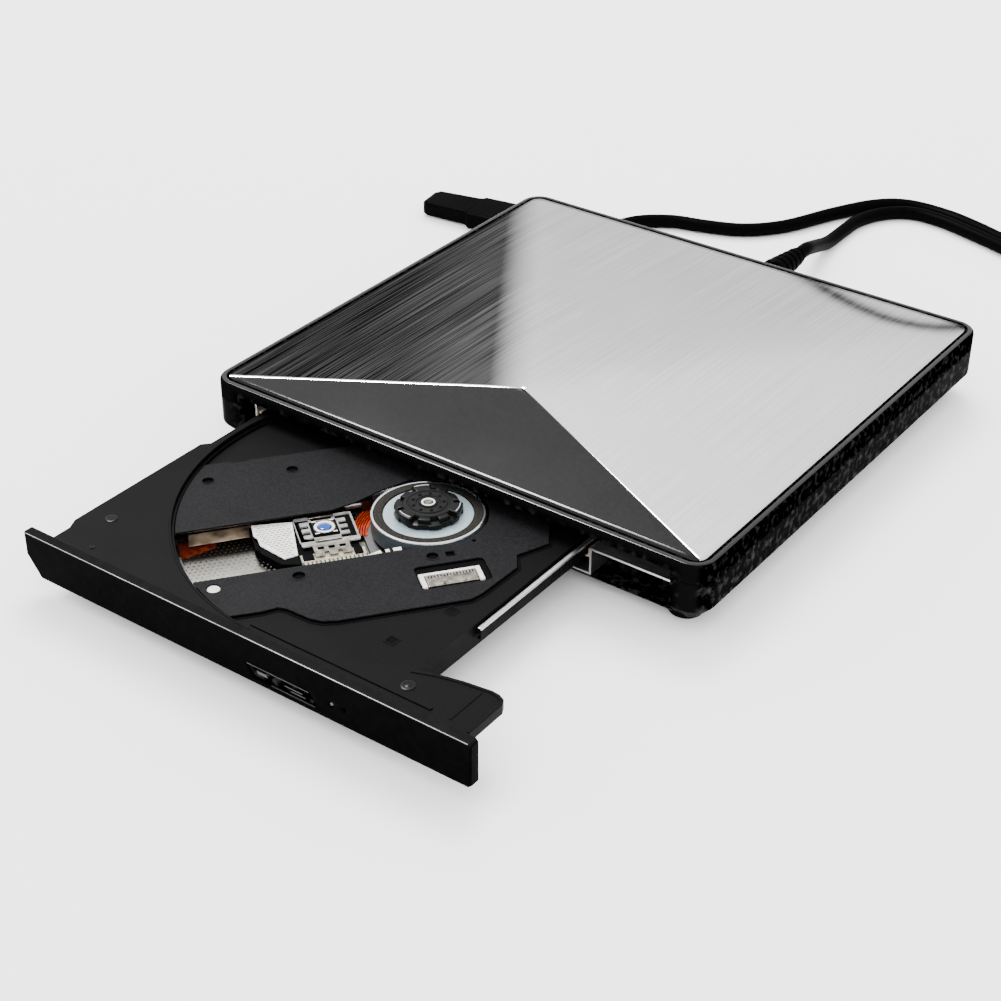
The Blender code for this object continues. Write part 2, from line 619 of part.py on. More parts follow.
def make_pickup():
    """The sled that carries the lens along its two rods."""
    outline = [(18, -8.8), (42, -8.8), (42, 0.6), (37, 8), (33.5, 11.6), (18, 11.6)]
    body = prism("pickup_body", [outline], 8.4, 10.8, "sheet_steel", sled_axis)
    bearing = box("bearing_arm", (18, -16.2, 8.4), (28.5, -8, 10.8), parent=sled_axis)
    fork = box("fork_arm", (19, 11, 8.4), (23, 22.6, 10.8), parent=sled_axis)
    bore = rod("bearing_bore", 1.2, (10, -14.2, ROD_Z), (60, -14.2, ROD_Z), parent=sled_axis, sides=16)
    gap = box("fork_gap", (15, 19.8, 8.2), (30, 24, 10.4), parent=sled_axis)
    combine(body, "UNION", bearing, fork)
    combine(body, "DIFFERENCE", bore, gap)
    shield = [(31.9, -7.2), (41.5, -8.3), (41.2, -2.6), (40.9, 0.6), (36.3, 7.7), (33.0, 6.9)]
    prism("pickup_shield", [shield], 11.4, 11.7, "white_plastic", sled_axis)
    lens_x, lens_y = LENS_PLACE
    plate = prism(
        "lens_actuator", [[(17.4, -8.3), (31.5, -8.3), (31.5, 4.0), (17.4, 4.0)]], 11.2, 11.7,
        "white_plastic", sled_axis,
    )
    holder = box(
        "lens_holder", (lens_x - 2.9, lens_y - 2.8, 11.5), (lens_x + 2.9, lens_y + 2.8, 12.3), parent=sled_axis,
    )
    seat = rod("lens_seat", 2.4, (lens_x, lens_y, 10), (lens_x, lens_y, 14), parent=sled_axis, sides=24)
    combine(plate, "UNION", holder)
    combine(plate, "DIFFERENCE", seat)
    rod("objective_lens", 2.1, (lens_x, lens_y, 11.5), (lens_x, lens_y, 12.5), "lens_glass", sled_axis, 24, 1.7)
    box("pickup_board", (17.1, 6.6, 11.1), (32.6, 11.3, 11.4), "circuit_board", sled_axis)


# ---------------------------------------------------------------- cable

PLUG_TIP = Vector((-120.0, 150.4, 2.9))
PLUG_TURN = math.radians(9.0)
CABLE_START_Y = 176.4

CABLE_KNOTS = [
    (PORT_X, 176.4, 9.0), (PORT_X, 181.5, 9.0), (1.8, 190.0, 6.4), (0.2, 202.0, 2.7),
    (-0.3, 214.0, CABLE_Z), (0.0, 223.0, CABLE_Z), (3.6, 232.5, CABLE_Z), (11.0, 239.0, CABLE_Z),
    (21.0, 239.5, CABLE_Z), (32.5, 236.8, CABLE_Z), (44.7, 233.1, CABLE_Z), (58.0, 228.5, CABLE_Z),
    (72.0, 223.5, CABLE_Z), (86.0, 219.5, CABLE_Z), (100.0, 219.0, CABLE_Z), (111.5, 225.0, CABLE_Z),
    (116.0, 236.0, CABLE_Z), (111.5, 247.0, CABLE_Z), (100.0, 253.0, CABLE_Z), (86.0, 252.0, CABLE_Z),
    (72.0, 246.5, CABLE_Z), (58.0, 240.5, CABLE_Z), (46.1, 237.6, CABLE_Z), (33.5, 241.3, CABLE_Z),
    (21.5, 244.2, CABLE_Z), (8.0, 243.8, CABLE_Z), (-1.0, 237.5, CABLE_Z), (-9.0, 223.5, CABLE_Z),
    (-17.0, 205.5, CABLE_Z), (-26.5, 195.0, CABLE_Z), (-38.0, 190.0, CABLE_Z), (-48.0, 187.0, CABLE_Z),
    (-56.5, 180.5, CABLE_Z), (-61.0, 172.0, CABLE_Z), (-65.5, 164.5, 2.4), (-70.5, 159.6, 2.9),
]


def plug_point(along, across=0.0, up=0.0):
    turn = Matrix.Rotation(PLUG_TURN, 3, "Z")
    return PLUG_TIP + turn @ Vector((along, across, up))


def make_cable():
    """The USB lead: straight back from the case, out to the right, and back to its plug."""
    body = rounded_rectangle(PORT_X - 5.6, 5.2, PORT_X + 5.6, 12.8, 2.0, 3)
    plug = prism("drive_plug", [body], CASE_D + 0.3, 160.0, "cable_jacket", case, upright=True)
    soften(plug, 0.8, 2, 50)
    relief_axis = axis_empty("relief_axis", PORT_X, 160.3, SOCKET_Z, parent=case)
    relief_axis.rotation_euler.x = -math.pi / 2
    profile = [(0.0, 15.7), (2.6, 15.7)]
    for step in range(5):
        low = 13.6 - 3.0 * step
        radius = 2.9 + 0.32 * step
        profile += [(radius, low + 1.2), (radius, low - 0.4), (radius - 0.5, low - 0.5), (radius - 0.5, low - 1.6)]
    profile += [(4.2, 0.0), (0.0, 0.0)]
    turned("strain_relief", profile, "cable_jacket", relief_axis, 20)

    knots = [*CABLE_KNOTS, plug_point(43.5), plug_point(38.5)]
    curve = bpy.data.curves.new("usb_cable", "CURVE")
    curve.dimensions = "3D"
    curve.bevel_depth = CABLE_DIAMETER / 2 * MM
    curve.bevel_resolution = 2
    curve.use_fill_caps = True
    curve.materials.append(material("cable_jacket"))
    route = smooth_route(knots, 7.0)
    spline = curve.splines.new("POLY")
    spline.points.add(len(route) - 1)
    for point, place in zip(spline.points, route):
        point.co = (*(place * MM), 1.0)
    cable = bpy.data.objects.new("usb_cable", curve)
    cable.parent = case
    parts.objects.link(cable)

    plug_axis = axis_empty("usb_plug_axis", PLUG_TIP.x, PLUG_TIP.y, PLUG_TIP.z, PLUG_TURN, case)
    grip = rounded_rectangle(17.6, -7.6, 38.0, 7.6, 2.2, 3)
    handle = prism("usb_plug_body", [grip], -2.8, 2.8, "cable_jacket", plug_axis)
    soften(handle, 1.0, 2, 50)
    sleeve = [(0, -4.2), (1.0, -5.1), (17.3, -5.9), (17.3, 6.4), (2.0, 5.5), (0, 3.7)]
    shell = prism("usb_plug_shell", [sleeve], -2.5, 2.5, "gloss_black", plug_axis)
    mouth = box("plug_mouth_cut", (-2, -3.7, -1.6), (12.6, 3.3, 1.6), parent=plug_axis)
    combine(shell, "DIFFERENCE", mouth)


make_bottom_shell()
make_top_frame()
make_lid()
make_feet_and_screws()
make_drive_chassis()
make_drive_fixtures()
make_slide_rails()
make_tray()
make_bezel()
make_eject_button()
make_latch()
make_mechanism_cover()
make_traverse()
make_spindle()
make_pickup()
make_cable()
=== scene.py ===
"""Looks of the external optical drive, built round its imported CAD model.

Shapes are drawn in millimetres and made in metres. Three plans are used: the case's plan has
y = 0 at the case's front face, the tray's plan has y = 0 at the bezel's front face, and the
sled's plan has its first axis along the pickup's travel, away from the spindle.
"""

import json
import math
from math import cos, pi, radians, sin

import bmesh
import bpy
from mathutils import Matrix, Vector


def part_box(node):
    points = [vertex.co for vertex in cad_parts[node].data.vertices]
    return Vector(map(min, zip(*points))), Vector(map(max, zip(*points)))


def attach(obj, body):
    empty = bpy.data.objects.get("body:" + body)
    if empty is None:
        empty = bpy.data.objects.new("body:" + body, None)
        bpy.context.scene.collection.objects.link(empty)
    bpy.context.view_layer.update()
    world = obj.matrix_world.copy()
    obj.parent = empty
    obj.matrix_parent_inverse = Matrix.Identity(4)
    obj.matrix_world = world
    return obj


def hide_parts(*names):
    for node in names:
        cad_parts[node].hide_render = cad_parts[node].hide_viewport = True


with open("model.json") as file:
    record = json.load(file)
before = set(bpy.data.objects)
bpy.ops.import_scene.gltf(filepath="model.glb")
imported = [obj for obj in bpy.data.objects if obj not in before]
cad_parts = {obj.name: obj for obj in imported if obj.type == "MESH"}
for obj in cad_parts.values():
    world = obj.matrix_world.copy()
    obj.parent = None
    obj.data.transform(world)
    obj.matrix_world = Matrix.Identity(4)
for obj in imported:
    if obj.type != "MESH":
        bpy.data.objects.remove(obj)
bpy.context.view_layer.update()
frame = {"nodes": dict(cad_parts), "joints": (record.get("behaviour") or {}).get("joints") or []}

MM = 0.001

CASE_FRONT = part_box("top_frame")[0].y
TRAY_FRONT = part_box("bezel")[0].y
JOINTS = {joint["name"]: joint for joint in frame["joints"]}
SPINDLE = Vector(JOINTS["disc_spin"]["pos_m"])
SLED_AXIS = Vector(JOINTS["pickup_slide"]["axis"])

CASE_PLAN = Matrix.Translation((0, CASE_FRONT, 0))
TRAY_PLAN = Matrix.Translation((0, TRAY_FRONT, 0))
SLED_PLAN = (
    Matrix.Translation((SPINDLE.x, SPINDLE.y, 0))
    @ Matrix.Rotation(math.atan2(SLED_AXIS.y, SLED_AXIS.x), 4, "Z")
)
SPINDLE_PLAN = Matrix.Translation((SPINDLE.x, SPINDLE.y, 0))


def link(obj):
    bpy.context.scene.collection.objects.link(obj)


def fill(node, values):
    """Sets a node's unlinked sockets by name."""
    for name, value in values.items():
        node.inputs[name].default_value = value


# ---- camera

CAMERA_AZIMUTH = radians(-35.77)
CAMERA_ELEVATION = radians(32.82)
CAMERA_ROLL = radians(-0.4)
CAMERA_DISTANCE = 0.5041
CAMERA_TARGET = CASE_PLAN @ Vector((0.0008, 0.0247, -0.0025))


def make_camera():
    level = cos(CAMERA_ELEVATION)
    ahead = Vector((
        sin(CAMERA_AZIMUTH) * level,
        cos(CAMERA_AZIMUTH) * level,
        -sin(CAMERA_ELEVATION),
    ))
    camera = bpy.data.cameras.new("camera")
    camera.lens = 70.65
    camera.sensor_width = 36
    camera.clip_start = 0.01
    camera.clip_end = 20
    holder = bpy.data.objects.new("camera", camera)
    holder.location = CAMERA_TARGET - ahead * CAMERA_DISTANCE
    turn = (-ahead).to_track_quat("Z", "Y").to_matrix().to_4x4()
    holder.rotation_euler = (turn @ Matrix.Rotation(-CAMERA_ROLL, 4, "Z")).to_euler()
    link(holder)
    bpy.context.scene.camera = holder


make_camera()


# ---- finishes

PAINTS = {}


def finish(name, colour, roughness, metallic=0.0, specular=0.5, grain=900, contrast=0.3,
           bump=0.1, spread=0.06, mottle=60.0, shades=None, shade_contrast=0.1, stops=(0.35, 0.65),
           rim_tint=1.0):
    """A surface with fine grain and slow mottling. One grain number is the same in all directions.

    Shades are a second colour, laid by the piece's own mask; several finishes use their two colours for painted
    light or shade. A low rim_tint darkens grazing reflections.
    """
    paint = bpy.data.materials.new(name)
    paint.use_nodes = True
    tree = paint.node_tree
    wire = tree.links.new
    shader = tree.nodes["Principled BSDF"]
    tint = (rim_tint, rim_tint, rim_tint, 1)
    fill(shader, {"Metallic": metallic, "Specular IOR Level": specular, "Specular Tint": tint})

    place = tree.nodes.new("ShaderNodeTexCoord")
    stretch = tree.nodes.new("ShaderNodeMapping")
    fill(stretch, {"Scale": grain if isinstance(grain, tuple) else (grain, grain, grain)})
    fine = tree.nodes.new("ShaderNodeTexNoise")
    fill(fine, {"Scale": 1.0, "Detail": 3.0})
    slow = tree.nodes.new("ShaderNodeTexNoise")
    fill(slow, {"Scale": mottle, "Detail": 2.0})
    wire(place.outputs["Object"], stretch.inputs["Vector"])
    wire(stretch.outputs["Vector"], fine.inputs["Vector"])
    wire(place.outputs["Object"], slow.inputs["Vector"])

    def toned(tone, contrast):
        ramp = tree.nodes.new("ShaderNodeValToRGB")
        ends = ramp.color_ramp.elements
        ends[0].position, ends[1].position = stops
        ends[0].color = (*(part * (1 - contrast) for part in tone), 1)
        ends[1].color = (*(min(part * (1 + contrast), 1) for part in tone), 1)
        wire(fine.outputs["Fac"], ramp.inputs["Fac"])
        return ramp.outputs["Color"]

    tone = toned(colour, contrast)
    if shades:
        mask = tree.nodes.new("ShaderNodeAttribute")
        mask.attribute_name = "mask"
        mix = tree.nodes.new("ShaderNodeMix")
        mix.data_type = "RGBA"
        wire(mask.outputs["Fac"], mix.inputs["Factor"])
        wire(tone, mix.inputs["A"])
        wire(toned(shades, shade_contrast), mix.inputs["B"])
        tone = mix.outputs["Result"]
    wire(tone, shader.inputs["Base Color"])

    rough = tree.nodes.new("ShaderNodeMapRange")
    low, high = max(roughness - spread, 0.02), roughness + spread
    fill(rough, {"From Min": 0.3, "From Max": 0.7, "To Min": low, "To Max": high})
    wire(slow.outputs["Fac"], rough.inputs["Value"])
    wire(rough.outputs["Result"], shader.inputs["Roughness"])

    relief = tree.nodes.new("ShaderNodeBump")
    fill(relief, {"Strength": bump, "Distance": 0.0001})
    wire(fine.outputs["Fac"], relief.inputs["Height"])
    wire(relief.outputs["Normal"], shader.inputs["Normal"])
    PAINTS[name] = paint


BRUSHED_Y = (2500, 16, 0)
TEXTURED = 2600

# The lid's metal: its dark base colour and its pale shades are painted reflections, dark on the left facet and
# light on the others.
finish("brushed_aluminium", (0.05, 0.05, 0.0505), 0.33, metallic=1, grain=BRUSHED_Y, contrast=0.97,
       bump=0.03, spread=0.01, shades=(0.98, 0.98, 0.985), shade_contrast=0.11, stops=(0.4, 0.62),
       rim_tint=0.1)
# Painted shade and painted highlight for the lid's two front folds: a dark metal strip on the right fold, a bright
# one on the left.
finish("fold_shade", (0.13, 0.13, 0.13), 0.25, metallic=1, grain=BRUSHED_Y, contrast=0.1)
finish("fold_highlight", (0.97, 0.97, 0.97), 0.2, metallic=1, grain=BRUSHED_Y, contrast=0.03)
finish("gloss_black", (0.003, 0.003, 0.0035), 0.13, specular=0.27, contrast=0.4,
       bump=0.02, spread=0.02, mottle=25)
# Painted highlights on the rim: the fine noise lays pale flecks in the black colour for mottled reflections, with
# no real reflection; the shades colour is plain black.
finish("rim_painted_sheen", (0.007, 0.007, 0.0072), 0.25, specular=0.0, contrast=1.0, bump=0.3,
       grain=520, spread=0.1, mottle=160, shades=(0.0022, 0.0022, 0.0023), stops=(0.52, 0.76))
# Painted highlights: the fine noise lays pale flecks in the black colour for mottled reflections, with almost no
# real reflection; the shades colour is plain black.
finish("painted_sheen_black", (0.012, 0.012, 0.0122), 0.3, specular=0.002, contrast=1.0, bump=0.6,
       grain=480, spread=0.1, mottle=160, shades=(0.0025, 0.0025, 0.0026), stops=(0.5, 0.74))
finish("bead_gloss", (0.004, 0.004, 0.0042), 0.2, specular=0.35, contrast=0.2, bump=0.02, spread=0.02)
# Painted light: the shades colour makes the bezel's top faces lighter than its black front.
finish("bezel_painted_top_light", (0.0006, 0.0006, 0.0007), 0.26, specular=0.005, contrast=0.4, bump=0.35,
       grain=420, spread=0.1, mottle=160, shades=(0.006, 0.006, 0.0063))
finish("black_plastic", (0.003, 0.003, 0.0033), 0.32, specular=0.09, grain=TEXTURED,
       bump=0.12, mottle=150)
finish("deep_black", (0.001, 0.001, 0.0012), 0.6, specular=0.02)
finish("tray_plastic", (0.0014, 0.0014, 0.0015), 0.5, specular=0.035, grain=TEXTURED, contrast=0.35,
       bump=0.3)
finish("textured_steel", (0.0045, 0.0045, 0.0053), 0.55, specular=0.05, grain=TEXTURED, contrast=0.6,
       bump=0.6)
finish("sheet_steel", (0.62, 0.62, 0.63), 0.32, metallic=1, grain=(300, 2400, 300), contrast=0.1)
finish("dark_steel", (0.10, 0.097, 0.093), 0.4, metallic=1, grain=(300, 2400, 300), contrast=0.2)
# Painted shade: a darker copy of the rail steel, for the right rail's web and lip.
finish("shaded_steel", (0.026, 0.026, 0.027), 0.4, metallic=1, grain=(300, 2400, 300),
       contrast=0.2, rim_tint=0.3)
# Painted shade on the belly plate: the dark base colour is its shaded part and the shades colour its lit part.
finish("belly_steel", (0.006, 0.005, 0.004), 0.45, metallic=1, grain=900, contrast=0.3,
       shades=(0.26, 0.25, 0.23))
finish("rotor_steel", (0.05, 0.062, 0.068), 0.35, metallic=0.3, specular=0.12, grain=(500, 500, 3000),
       contrast=0.12)
finish("rotor_lip", (0.9, 0.92, 0.93), 0.2, metallic=1, contrast=0.04)
finish("rubber", (0.002, 0.002, 0.002), 0.7, specular=0.01, bump=0.3)
finish("rubber_pad", (0.015, 0.013, 0.011), 0.75, specular=0.08, grain=2200,
       contrast=0.6, bump=0.5)
finish("circuit_board", (0.012, 0.055, 0.028), 0.4, specular=0.2, grain=1500, contrast=0.4)
finish("copper_flex", (0.42, 0.035, 0.004), 0.4, specular=0.12, grain=(1200, 300, 1200), contrast=0.3)
finish("dark_copper", (0.10, 0.012, 0.003), 0.45, specular=0.1, grain=700, contrast=0.5)
# Painted shade on the dimples, laid the same way as on the belly plate.
finish("belly_dots", (0.03, 0.022, 0.016), 0.4, specular=0.1, shades=(0.42, 0.40, 0.36))
finish("grey_flex", (0.20, 0.20, 0.195), 0.4, specular=0.25, grain=(800, 300, 800), contrast=0.3)
finish("white_plastic", (0.62, 0.61, 0.57), 0.45, specular=0.3, contrast=0.08)
finish("cream_plastic", (0.34, 0.29, 0.21), 0.5, specular=0.2, grain=700,
       contrast=0.3, bump=0.2)
finish("greased_metal", (0.26, 0.19, 0.13), 0.4, specular=0.3, grain=230,
       contrast=0.75, bump=0.2)
finish("pale_disc", (0.26, 0.33, 0.36), 0.4, specular=0.3, contrast=0.08)
finish("brass", (0.5, 0.33, 0.12), 0.3, metallic=1, contrast=0.15)
finish("aged_steel", (0.17, 0.155, 0.135), 0.38, metallic=1, grain=700, contrast=0.45)
finish("lens_glass", (0.008, 0.045, 0.26), 0.08, specular=0.35, contrast=0.1, bump=0.0)
finish("led_lens", (0.06, 0.06, 0.06), 0.3, specular=0.3, contrast=0.1)
finish("cable_jacket", (0.0012, 0.0012, 0.0013), 0.42, specular=0.006, grain=1400)


# ---- piece kit

UPRIGHT = Matrix.Rotation(pi / 2, 4, "X")


def weld(bm):
    bmesh.ops.remove_doubles(bm, verts=bm.verts, dist=0.002)


def placed(plan, x, y, z=0):
    """The plan moved to a point that is given in its own millimetres."""
    return plan @ Matrix.Translation((x * MM, y * MM, z * MM))


def piece(name, bm, plan, body, slot, paint=None, cad=None, crease=32, mask=None):
    """Links a mesh drawn in millimetres in a plan as one piece, with its finish and its body; the slot names the
    finish when no paint is given.

    The CAD node that cad names is hidden in its place.
    """
    weld(bm)
    if mask:
        layer = bm.verts.layers.float.new("mask")
        for vert in bm.verts:
            vert[layer] = mask(vert.co)
    bm.transform(plan @ Matrix.Scale(MM, 4))
    bmesh.ops.recalc_face_normals(bm, faces=bm.faces)
    mesh = bpy.data.meshes.new(name)
    bm.to_mesh(mesh)
    bm.free()
    mesh.shade_smooth()
    mesh.set_sharp_from_angle(angle=radians(crease))
    mesh.materials.append(PAINTS[paint or slot])
    obj = bpy.data.objects.new(name, mesh)
    link(obj)
    normals = obj.modifiers.new("normals", "WEIGHTED_NORMAL")
    normals.keep_sharp = True
    if cad:
        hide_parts(cad)
    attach(obj, body)
    return obj


def skinned(rows, wrap=True, close=False, caps=False):
    """A skin through rows of points."""
    bm = bmesh.new()
    grid = [[bm.verts.new(point) for point in row] for row in rows]
    pairs = list(zip(grid, grid[1:])) + ([(grid[-1], grid[0])] if close else [])
    for near, far in pairs:
        for i in range(len(near) if wrap else len(near) - 1):
            j = (i + 1) % len(near)
            bm.faces.new((near[i], near[j], far[j], far[i]))
    if caps:
        bm.faces.new(grid[0])
        bm.faces.new(grid[-1])
    return bm


def turned(profile, steps=96, ripple=None):
    """A profile of (radius, height) turned round the upright axis."""
    rows = []
    for step in range(steps):
        turn = 2 * pi * step / steps
        rows.append([
            ((radius + (ripple(turn, radius, z) if ripple else 0)) * cos(turn),
             (radius + (ripple(turn, radius, z) if ripple else 0)) * sin(turn), z)
            for radius, z in profile
        ])
    bm = skinned(rows, wrap=False, close=True)
    weld(bm)
    return bm


def block(low, high, bevel=0.15, segments=2):
    """A box with rounded edges."""
    bm = bmesh.new()
    bmesh.ops.create_cube(bm, size=1)
    for vert in bm.verts:
        vert.co = Vector([(a + b) / 2 + part * (b - a) for a, b, part in zip(low, high, vert.co)])
    if bevel:
        bmesh.ops.bevel(bm, geom=bm.edges[:], offset=bevel, segments=segments, profile=0.5, affect="EDGES",
                        clamp_overlap=True)
    return bm


def joined(*parts):
    """Several drawn shapes in one mesh."""
    whole = bmesh.new()
    for part in parts:
        mesh = bpy.data.meshes.new("part")
        part.to_mesh(mesh)
        part.free()
        whole.from_mesh(mesh)
        bpy.data.meshes.remove(mesh)
    return whole


def area(loop):
    return sum(a[0] * b[1] - b[0] * a[1] for a, b in zip(loop, loop[1:] + loop[:1])) / 2


def plate(loops, low, high, bevel=0.1, segments=1, grow=0.0):
    """A flat plate with rounded edges; the first loop is its outline, and the others are holes."""
    curve = bpy.data.curves.new("plate", "CURVE")
    curve.dimensions = "2D"
    curve.fill_mode = "BOTH"
    curve.extrude = (high - low) / 2 - bevel
    curve.bevel_depth = bevel
    curve.bevel_resolution = segments - 1
    curve.offset = grow - bevel
    for number, loop in enumerate(loops):
        loop = list(loop)
        if (area(loop) > 0) != (number == 0):
            loop.reverse()
        spline = curve.splines.new("POLY")
        spline.points.add(len(loop) - 1)
        spline.use_cyclic_u = True
        for point, (x, y) in zip(spline.points, loop):
            point.co = (x, y, 0, 1)
    holder = bpy.data.objects.new("plate", curve)
    mesh = bpy.data.meshes.new_from_object(holder)
    bm = bmesh.new()
    bm.from_mesh(mesh)
    bpy.data.meshes.remove(mesh)
    bpy.data.objects.remove(holder)
    bpy.data.curves.remove(curve)
    bm.transform(Matrix.Translation((0, 0, (low + high) / 2)))
    weld(bm)
    return bm


def prism(loop, low, high):
    return skinned([[(x, y, z) for x, y in loop] for z in (low, high)], caps=True)


def rounded(left, front, right, back, radius, steps=6):
    corners = (
        (right - radius, back - radius, 0),
        (left + radius, back - radius, 1),
        (left + radius, front + radius, 2),
        (right - radius, front + radius, 3),
    )
    loop = []
    for x, y, quarter in corners:
        for step in range(steps + 1):
            angle = (quarter + step / steps) * pi / 2
            loop.append((x + radius * cos(angle), y + radius * sin(angle)))
    return loop


def circle(x, y, radius, sides=32):
    turns = [2 * pi * step / sides for step in range(sides)]
    return [(x + radius * cos(turn), y + radius * sin(turn)) for turn in turns]


def arc(centre, radius, start, end, steps):
    """Points on an arc between two angles in degrees."""
    turns = [radians(start + (end - start) * step / steps) for step in range(steps + 1)]
    return [(centre[0] + radius * cos(t), centre[1] + radius * sin(t)) for t in turns]


def cut(obj, *tools):
    """Cuts drawn shapes out of a piece that is already linked."""
    for tool, plan in tools:
        tool.transform(plan @ Matrix.Scale(MM, 4))
        bmesh.ops.recalc_face_normals(tool, faces=tool.faces)
        mesh = bpy.data.meshes.new("tool")
        tool.to_mesh(mesh)
        tool.free()
        holder = bpy.data.objects.new("tool", mesh)
        link(holder)
        step = obj.modifiers.new("cut", "BOOLEAN")
        step.object = holder
        step.operation = "DIFFERENCE"
        step.solver = "EXACT"
        obj.modifiers.move(len(obj.modifiers) - 1, 0)
        normals = obj.modifiers["normals"]
        normals.show_viewport = False
        depsgraph = bpy.context.evaluated_depsgraph_get()
        made = bpy.data.meshes.new_from_object(obj.evaluated_get(depsgraph))
        normals.show_viewport = True
        obj.modifiers.remove(step)
        obj.data = made
        bpy.data.objects.remove(holder)
        bpy.data.meshes.remove(mesh)


# ---- cable

CABLE_DIAMETER = 4.3
CABLE_Z = 2.2
PORT_X = 3.0
PLUG_TIP = Vector((-120.0, 150.4, 2.9))
PLUG_TURN = radians(9.0)

CABLE_LAY = [
    (-0.3, 214.0), (0.0, 223.0), (3.6, 232.5), (11.0, 239.0), (21.0, 239.5), (32.5, 236.8), (44.7, 233.1),
    (58.0, 228.5), (72.0, 223.5), (86.0, 219.5), (100.0, 219.0), (111.5, 225.0), (116.0, 236.0),
    (111.5, 247.0), (100.0, 253.0), (86.0, 252.0), (72.0, 246.5), (58.0, 240.5), (46.1, 237.6),
    (33.5, 241.3), (21.5, 244.2), (8.0, 243.8), (-1.0, 237.5), (-9.0, 223.5), (-17.0, 205.5),
    (-26.5, 195.0), (-38.0, 190.0), (-48.0, 187.0), (-56.5, 180.5), (-61.0, 172.0),
]
CABLE_KNOTS = [
    (PORT_X, 176.4, 9.0), (PORT_X, 181.5, 9.0), (1.8, 190.0, 6.4), (0.2, 202.0, 2.7),
    *((x, y, CABLE_Z) for x, y in CABLE_LAY), (-65.5, 164.5, 2.4), (-70.5, 159.6, 2.9),
]


def smooth_route(knots, steps):
    """Points on a Catmull-Rom curve through the knots."""
    knots = [Vector(knot) for knot in knots]
    padded = [2 * knots[0] - knots[1], *knots, 2 * knots[-1] - knots[-2]]
    route = []
    for a, b, c, d in zip(padded, padded[1:], padded[2:], padded[3:]):
        for step in range(steps):
            t = step / steps
            route.append(
                0.5 * (2 * b + (c - a) * t + (2 * a - 5 * b + 4 * c - d) * t**2
                       + (3 * b - a - 3 * c + d) * t**3)
            )
    return [*route, knots[-1]]


def make_cable():
    plug_plan = Matrix.Translation(PLUG_TIP) @ Matrix.Rotation(PLUG_TURN, 4, "Z")
    knots = [*CABLE_KNOTS, plug_plan @ Vector((43.5, 0, 0)), plug_plan @ Vector((38.5, 0, 0))]
    curve = bpy.data.curves.new("usb_lead", "CURVE")
    curve.dimensions = "3D"
    curve.bevel_depth = CABLE_DIAMETER / 2 * MM
    curve.bevel_resolution = 5
    curve.use_fill_caps = True
    curve.materials.append(PAINTS["cable_jacket"])
    spline = curve.splines.new("POLY")
    route = smooth_route(knots, 5)
    spline.points.add(len(route) - 1)
    for point, place in zip(spline.points, route):
        point.co = (*(CASE_PLAN @ (place * MM)), 1.0)
    lead = bpy.data.objects.new("usb_lead", curve)
    link(lead)
    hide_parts("usb_cable")
    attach(lead, "case")


def make_socket_and_boot():
    """The plug in the case's back and the ribbed boot on the lead."""
    rows = []
    for y, grow in ((147.3, -0.5), (147.6, 0), (158.4, 0), (159.4, -0.4), (160.0, -1.3)):
        loop = rounded(PORT_X - 5.6 - grow, 5.2 - grow, PORT_X + 5.6 + grow, 12.8 + grow, 2.2)
        rows.append([(x, y, z) for x, z in loop])
    piece("boot_head", skinned(rows, caps=True), CASE_PLAN, "case", "cable_jacket",
          cad="drive_plug", crease=50)
    profile = [(0, 0), (3.9, 0), (4.2, 0.3)]
    for rib in range(5):
        start = 0.6 + 3.0 * rib
        radius = 4.25 - 0.33 * rib
        profile += [
            (radius, start), (radius, start + 1.3), (radius - 0.15, start + 1.6),
            (radius - 0.7, start + 1.75), (radius - 0.75, start + 2.7), (radius - 0.4, start + 2.9),
        ]
    profile += [(2.55, 15.6), (2.3, 15.75), (0, 15.75)]
    plan = placed(CASE_PLAN, PORT_X, 160.3, 9.0) @ Matrix.Rotation(-pi / 2, 4, "X")
    piece("boot_ribs", turned(profile, 40), plan, "case", "cable_jacket", cad="strain_relief", crease=40)


def make_plug():
    plan = placed(CASE_PLAN, *PLUG_TIP) @ Matrix.Rotation(PLUG_TURN, 4, "Z")

    def section(x, left, right, low, high, radius):
        return [(x, y, z) for y, z in rounded(left, low, right, high, radius)]

    rows = [
        section(0.2, -3.4, 2.9, -1.5, 1.5, 0.5), section(0.9, -4.6, 4.1, -2.2, 2.2, 0.9),
        section(2.4, -5.2, 5.4, -2.5, 2.5, 1.0), section(16.0, -5.8, 6.3, -2.5, 2.5, 1.0),
        section(17.3, -6.2, 6.6, -2.55, 2.55, 1.0),
    ]
    piece("plug_nose", skinned(rows, caps=True), plan, "case", "gloss_black", "cable_jacket",
          cad="usb_plug_shell", crease=40)
    rows = [
        section(17.6, -6.8, 6.9, -2.6, 2.6, 1.2), section(18.3, -7.5, 7.5, -2.8, 2.8, 1.4),
        section(30.0, -7.6, 7.6, -2.8, 2.8, 1.4), section(35.0, -7.0, 7.0, -2.8, 2.8, 1.6),
        section(37.4, -5.2, 5.2, -2.7, 2.7, 1.8), section(38.0, -4.0, 4.0, -2.4, 2.4, 1.8),
    ]
    piece("plug_grip", skinned(rows, caps=True), plan, "case", "cable_jacket",
          cad="usb_plug_body", crease=40)


# ---- case

CASE_W = 150.0
CASE_D = 147.0
CASE_CORNER = 6.0
SHELL_BOTTOM = 2.2
SHELL_TOP = 14.3
FRAME_LOW = 14.6
FRAME_TOP = 19.5
LEDGE_TOP = 18.3
CHAMFER = 4.5
LID_HALF = 72.3
LID_FRONT = 2.7
LID_BACK = 144.3
LID_CORNER = 3.0
LID_NIP = 0.88
APEX_Y = 35.0
APEX_RISE = 6.4
RIDGE_SOFTNESS = 0.045
MOUTH_LEFT = -65.2
MOUTH_RIGHT = 66.2
MOUTH_TOP = 16.7
FRONT_STRIP = 1.5


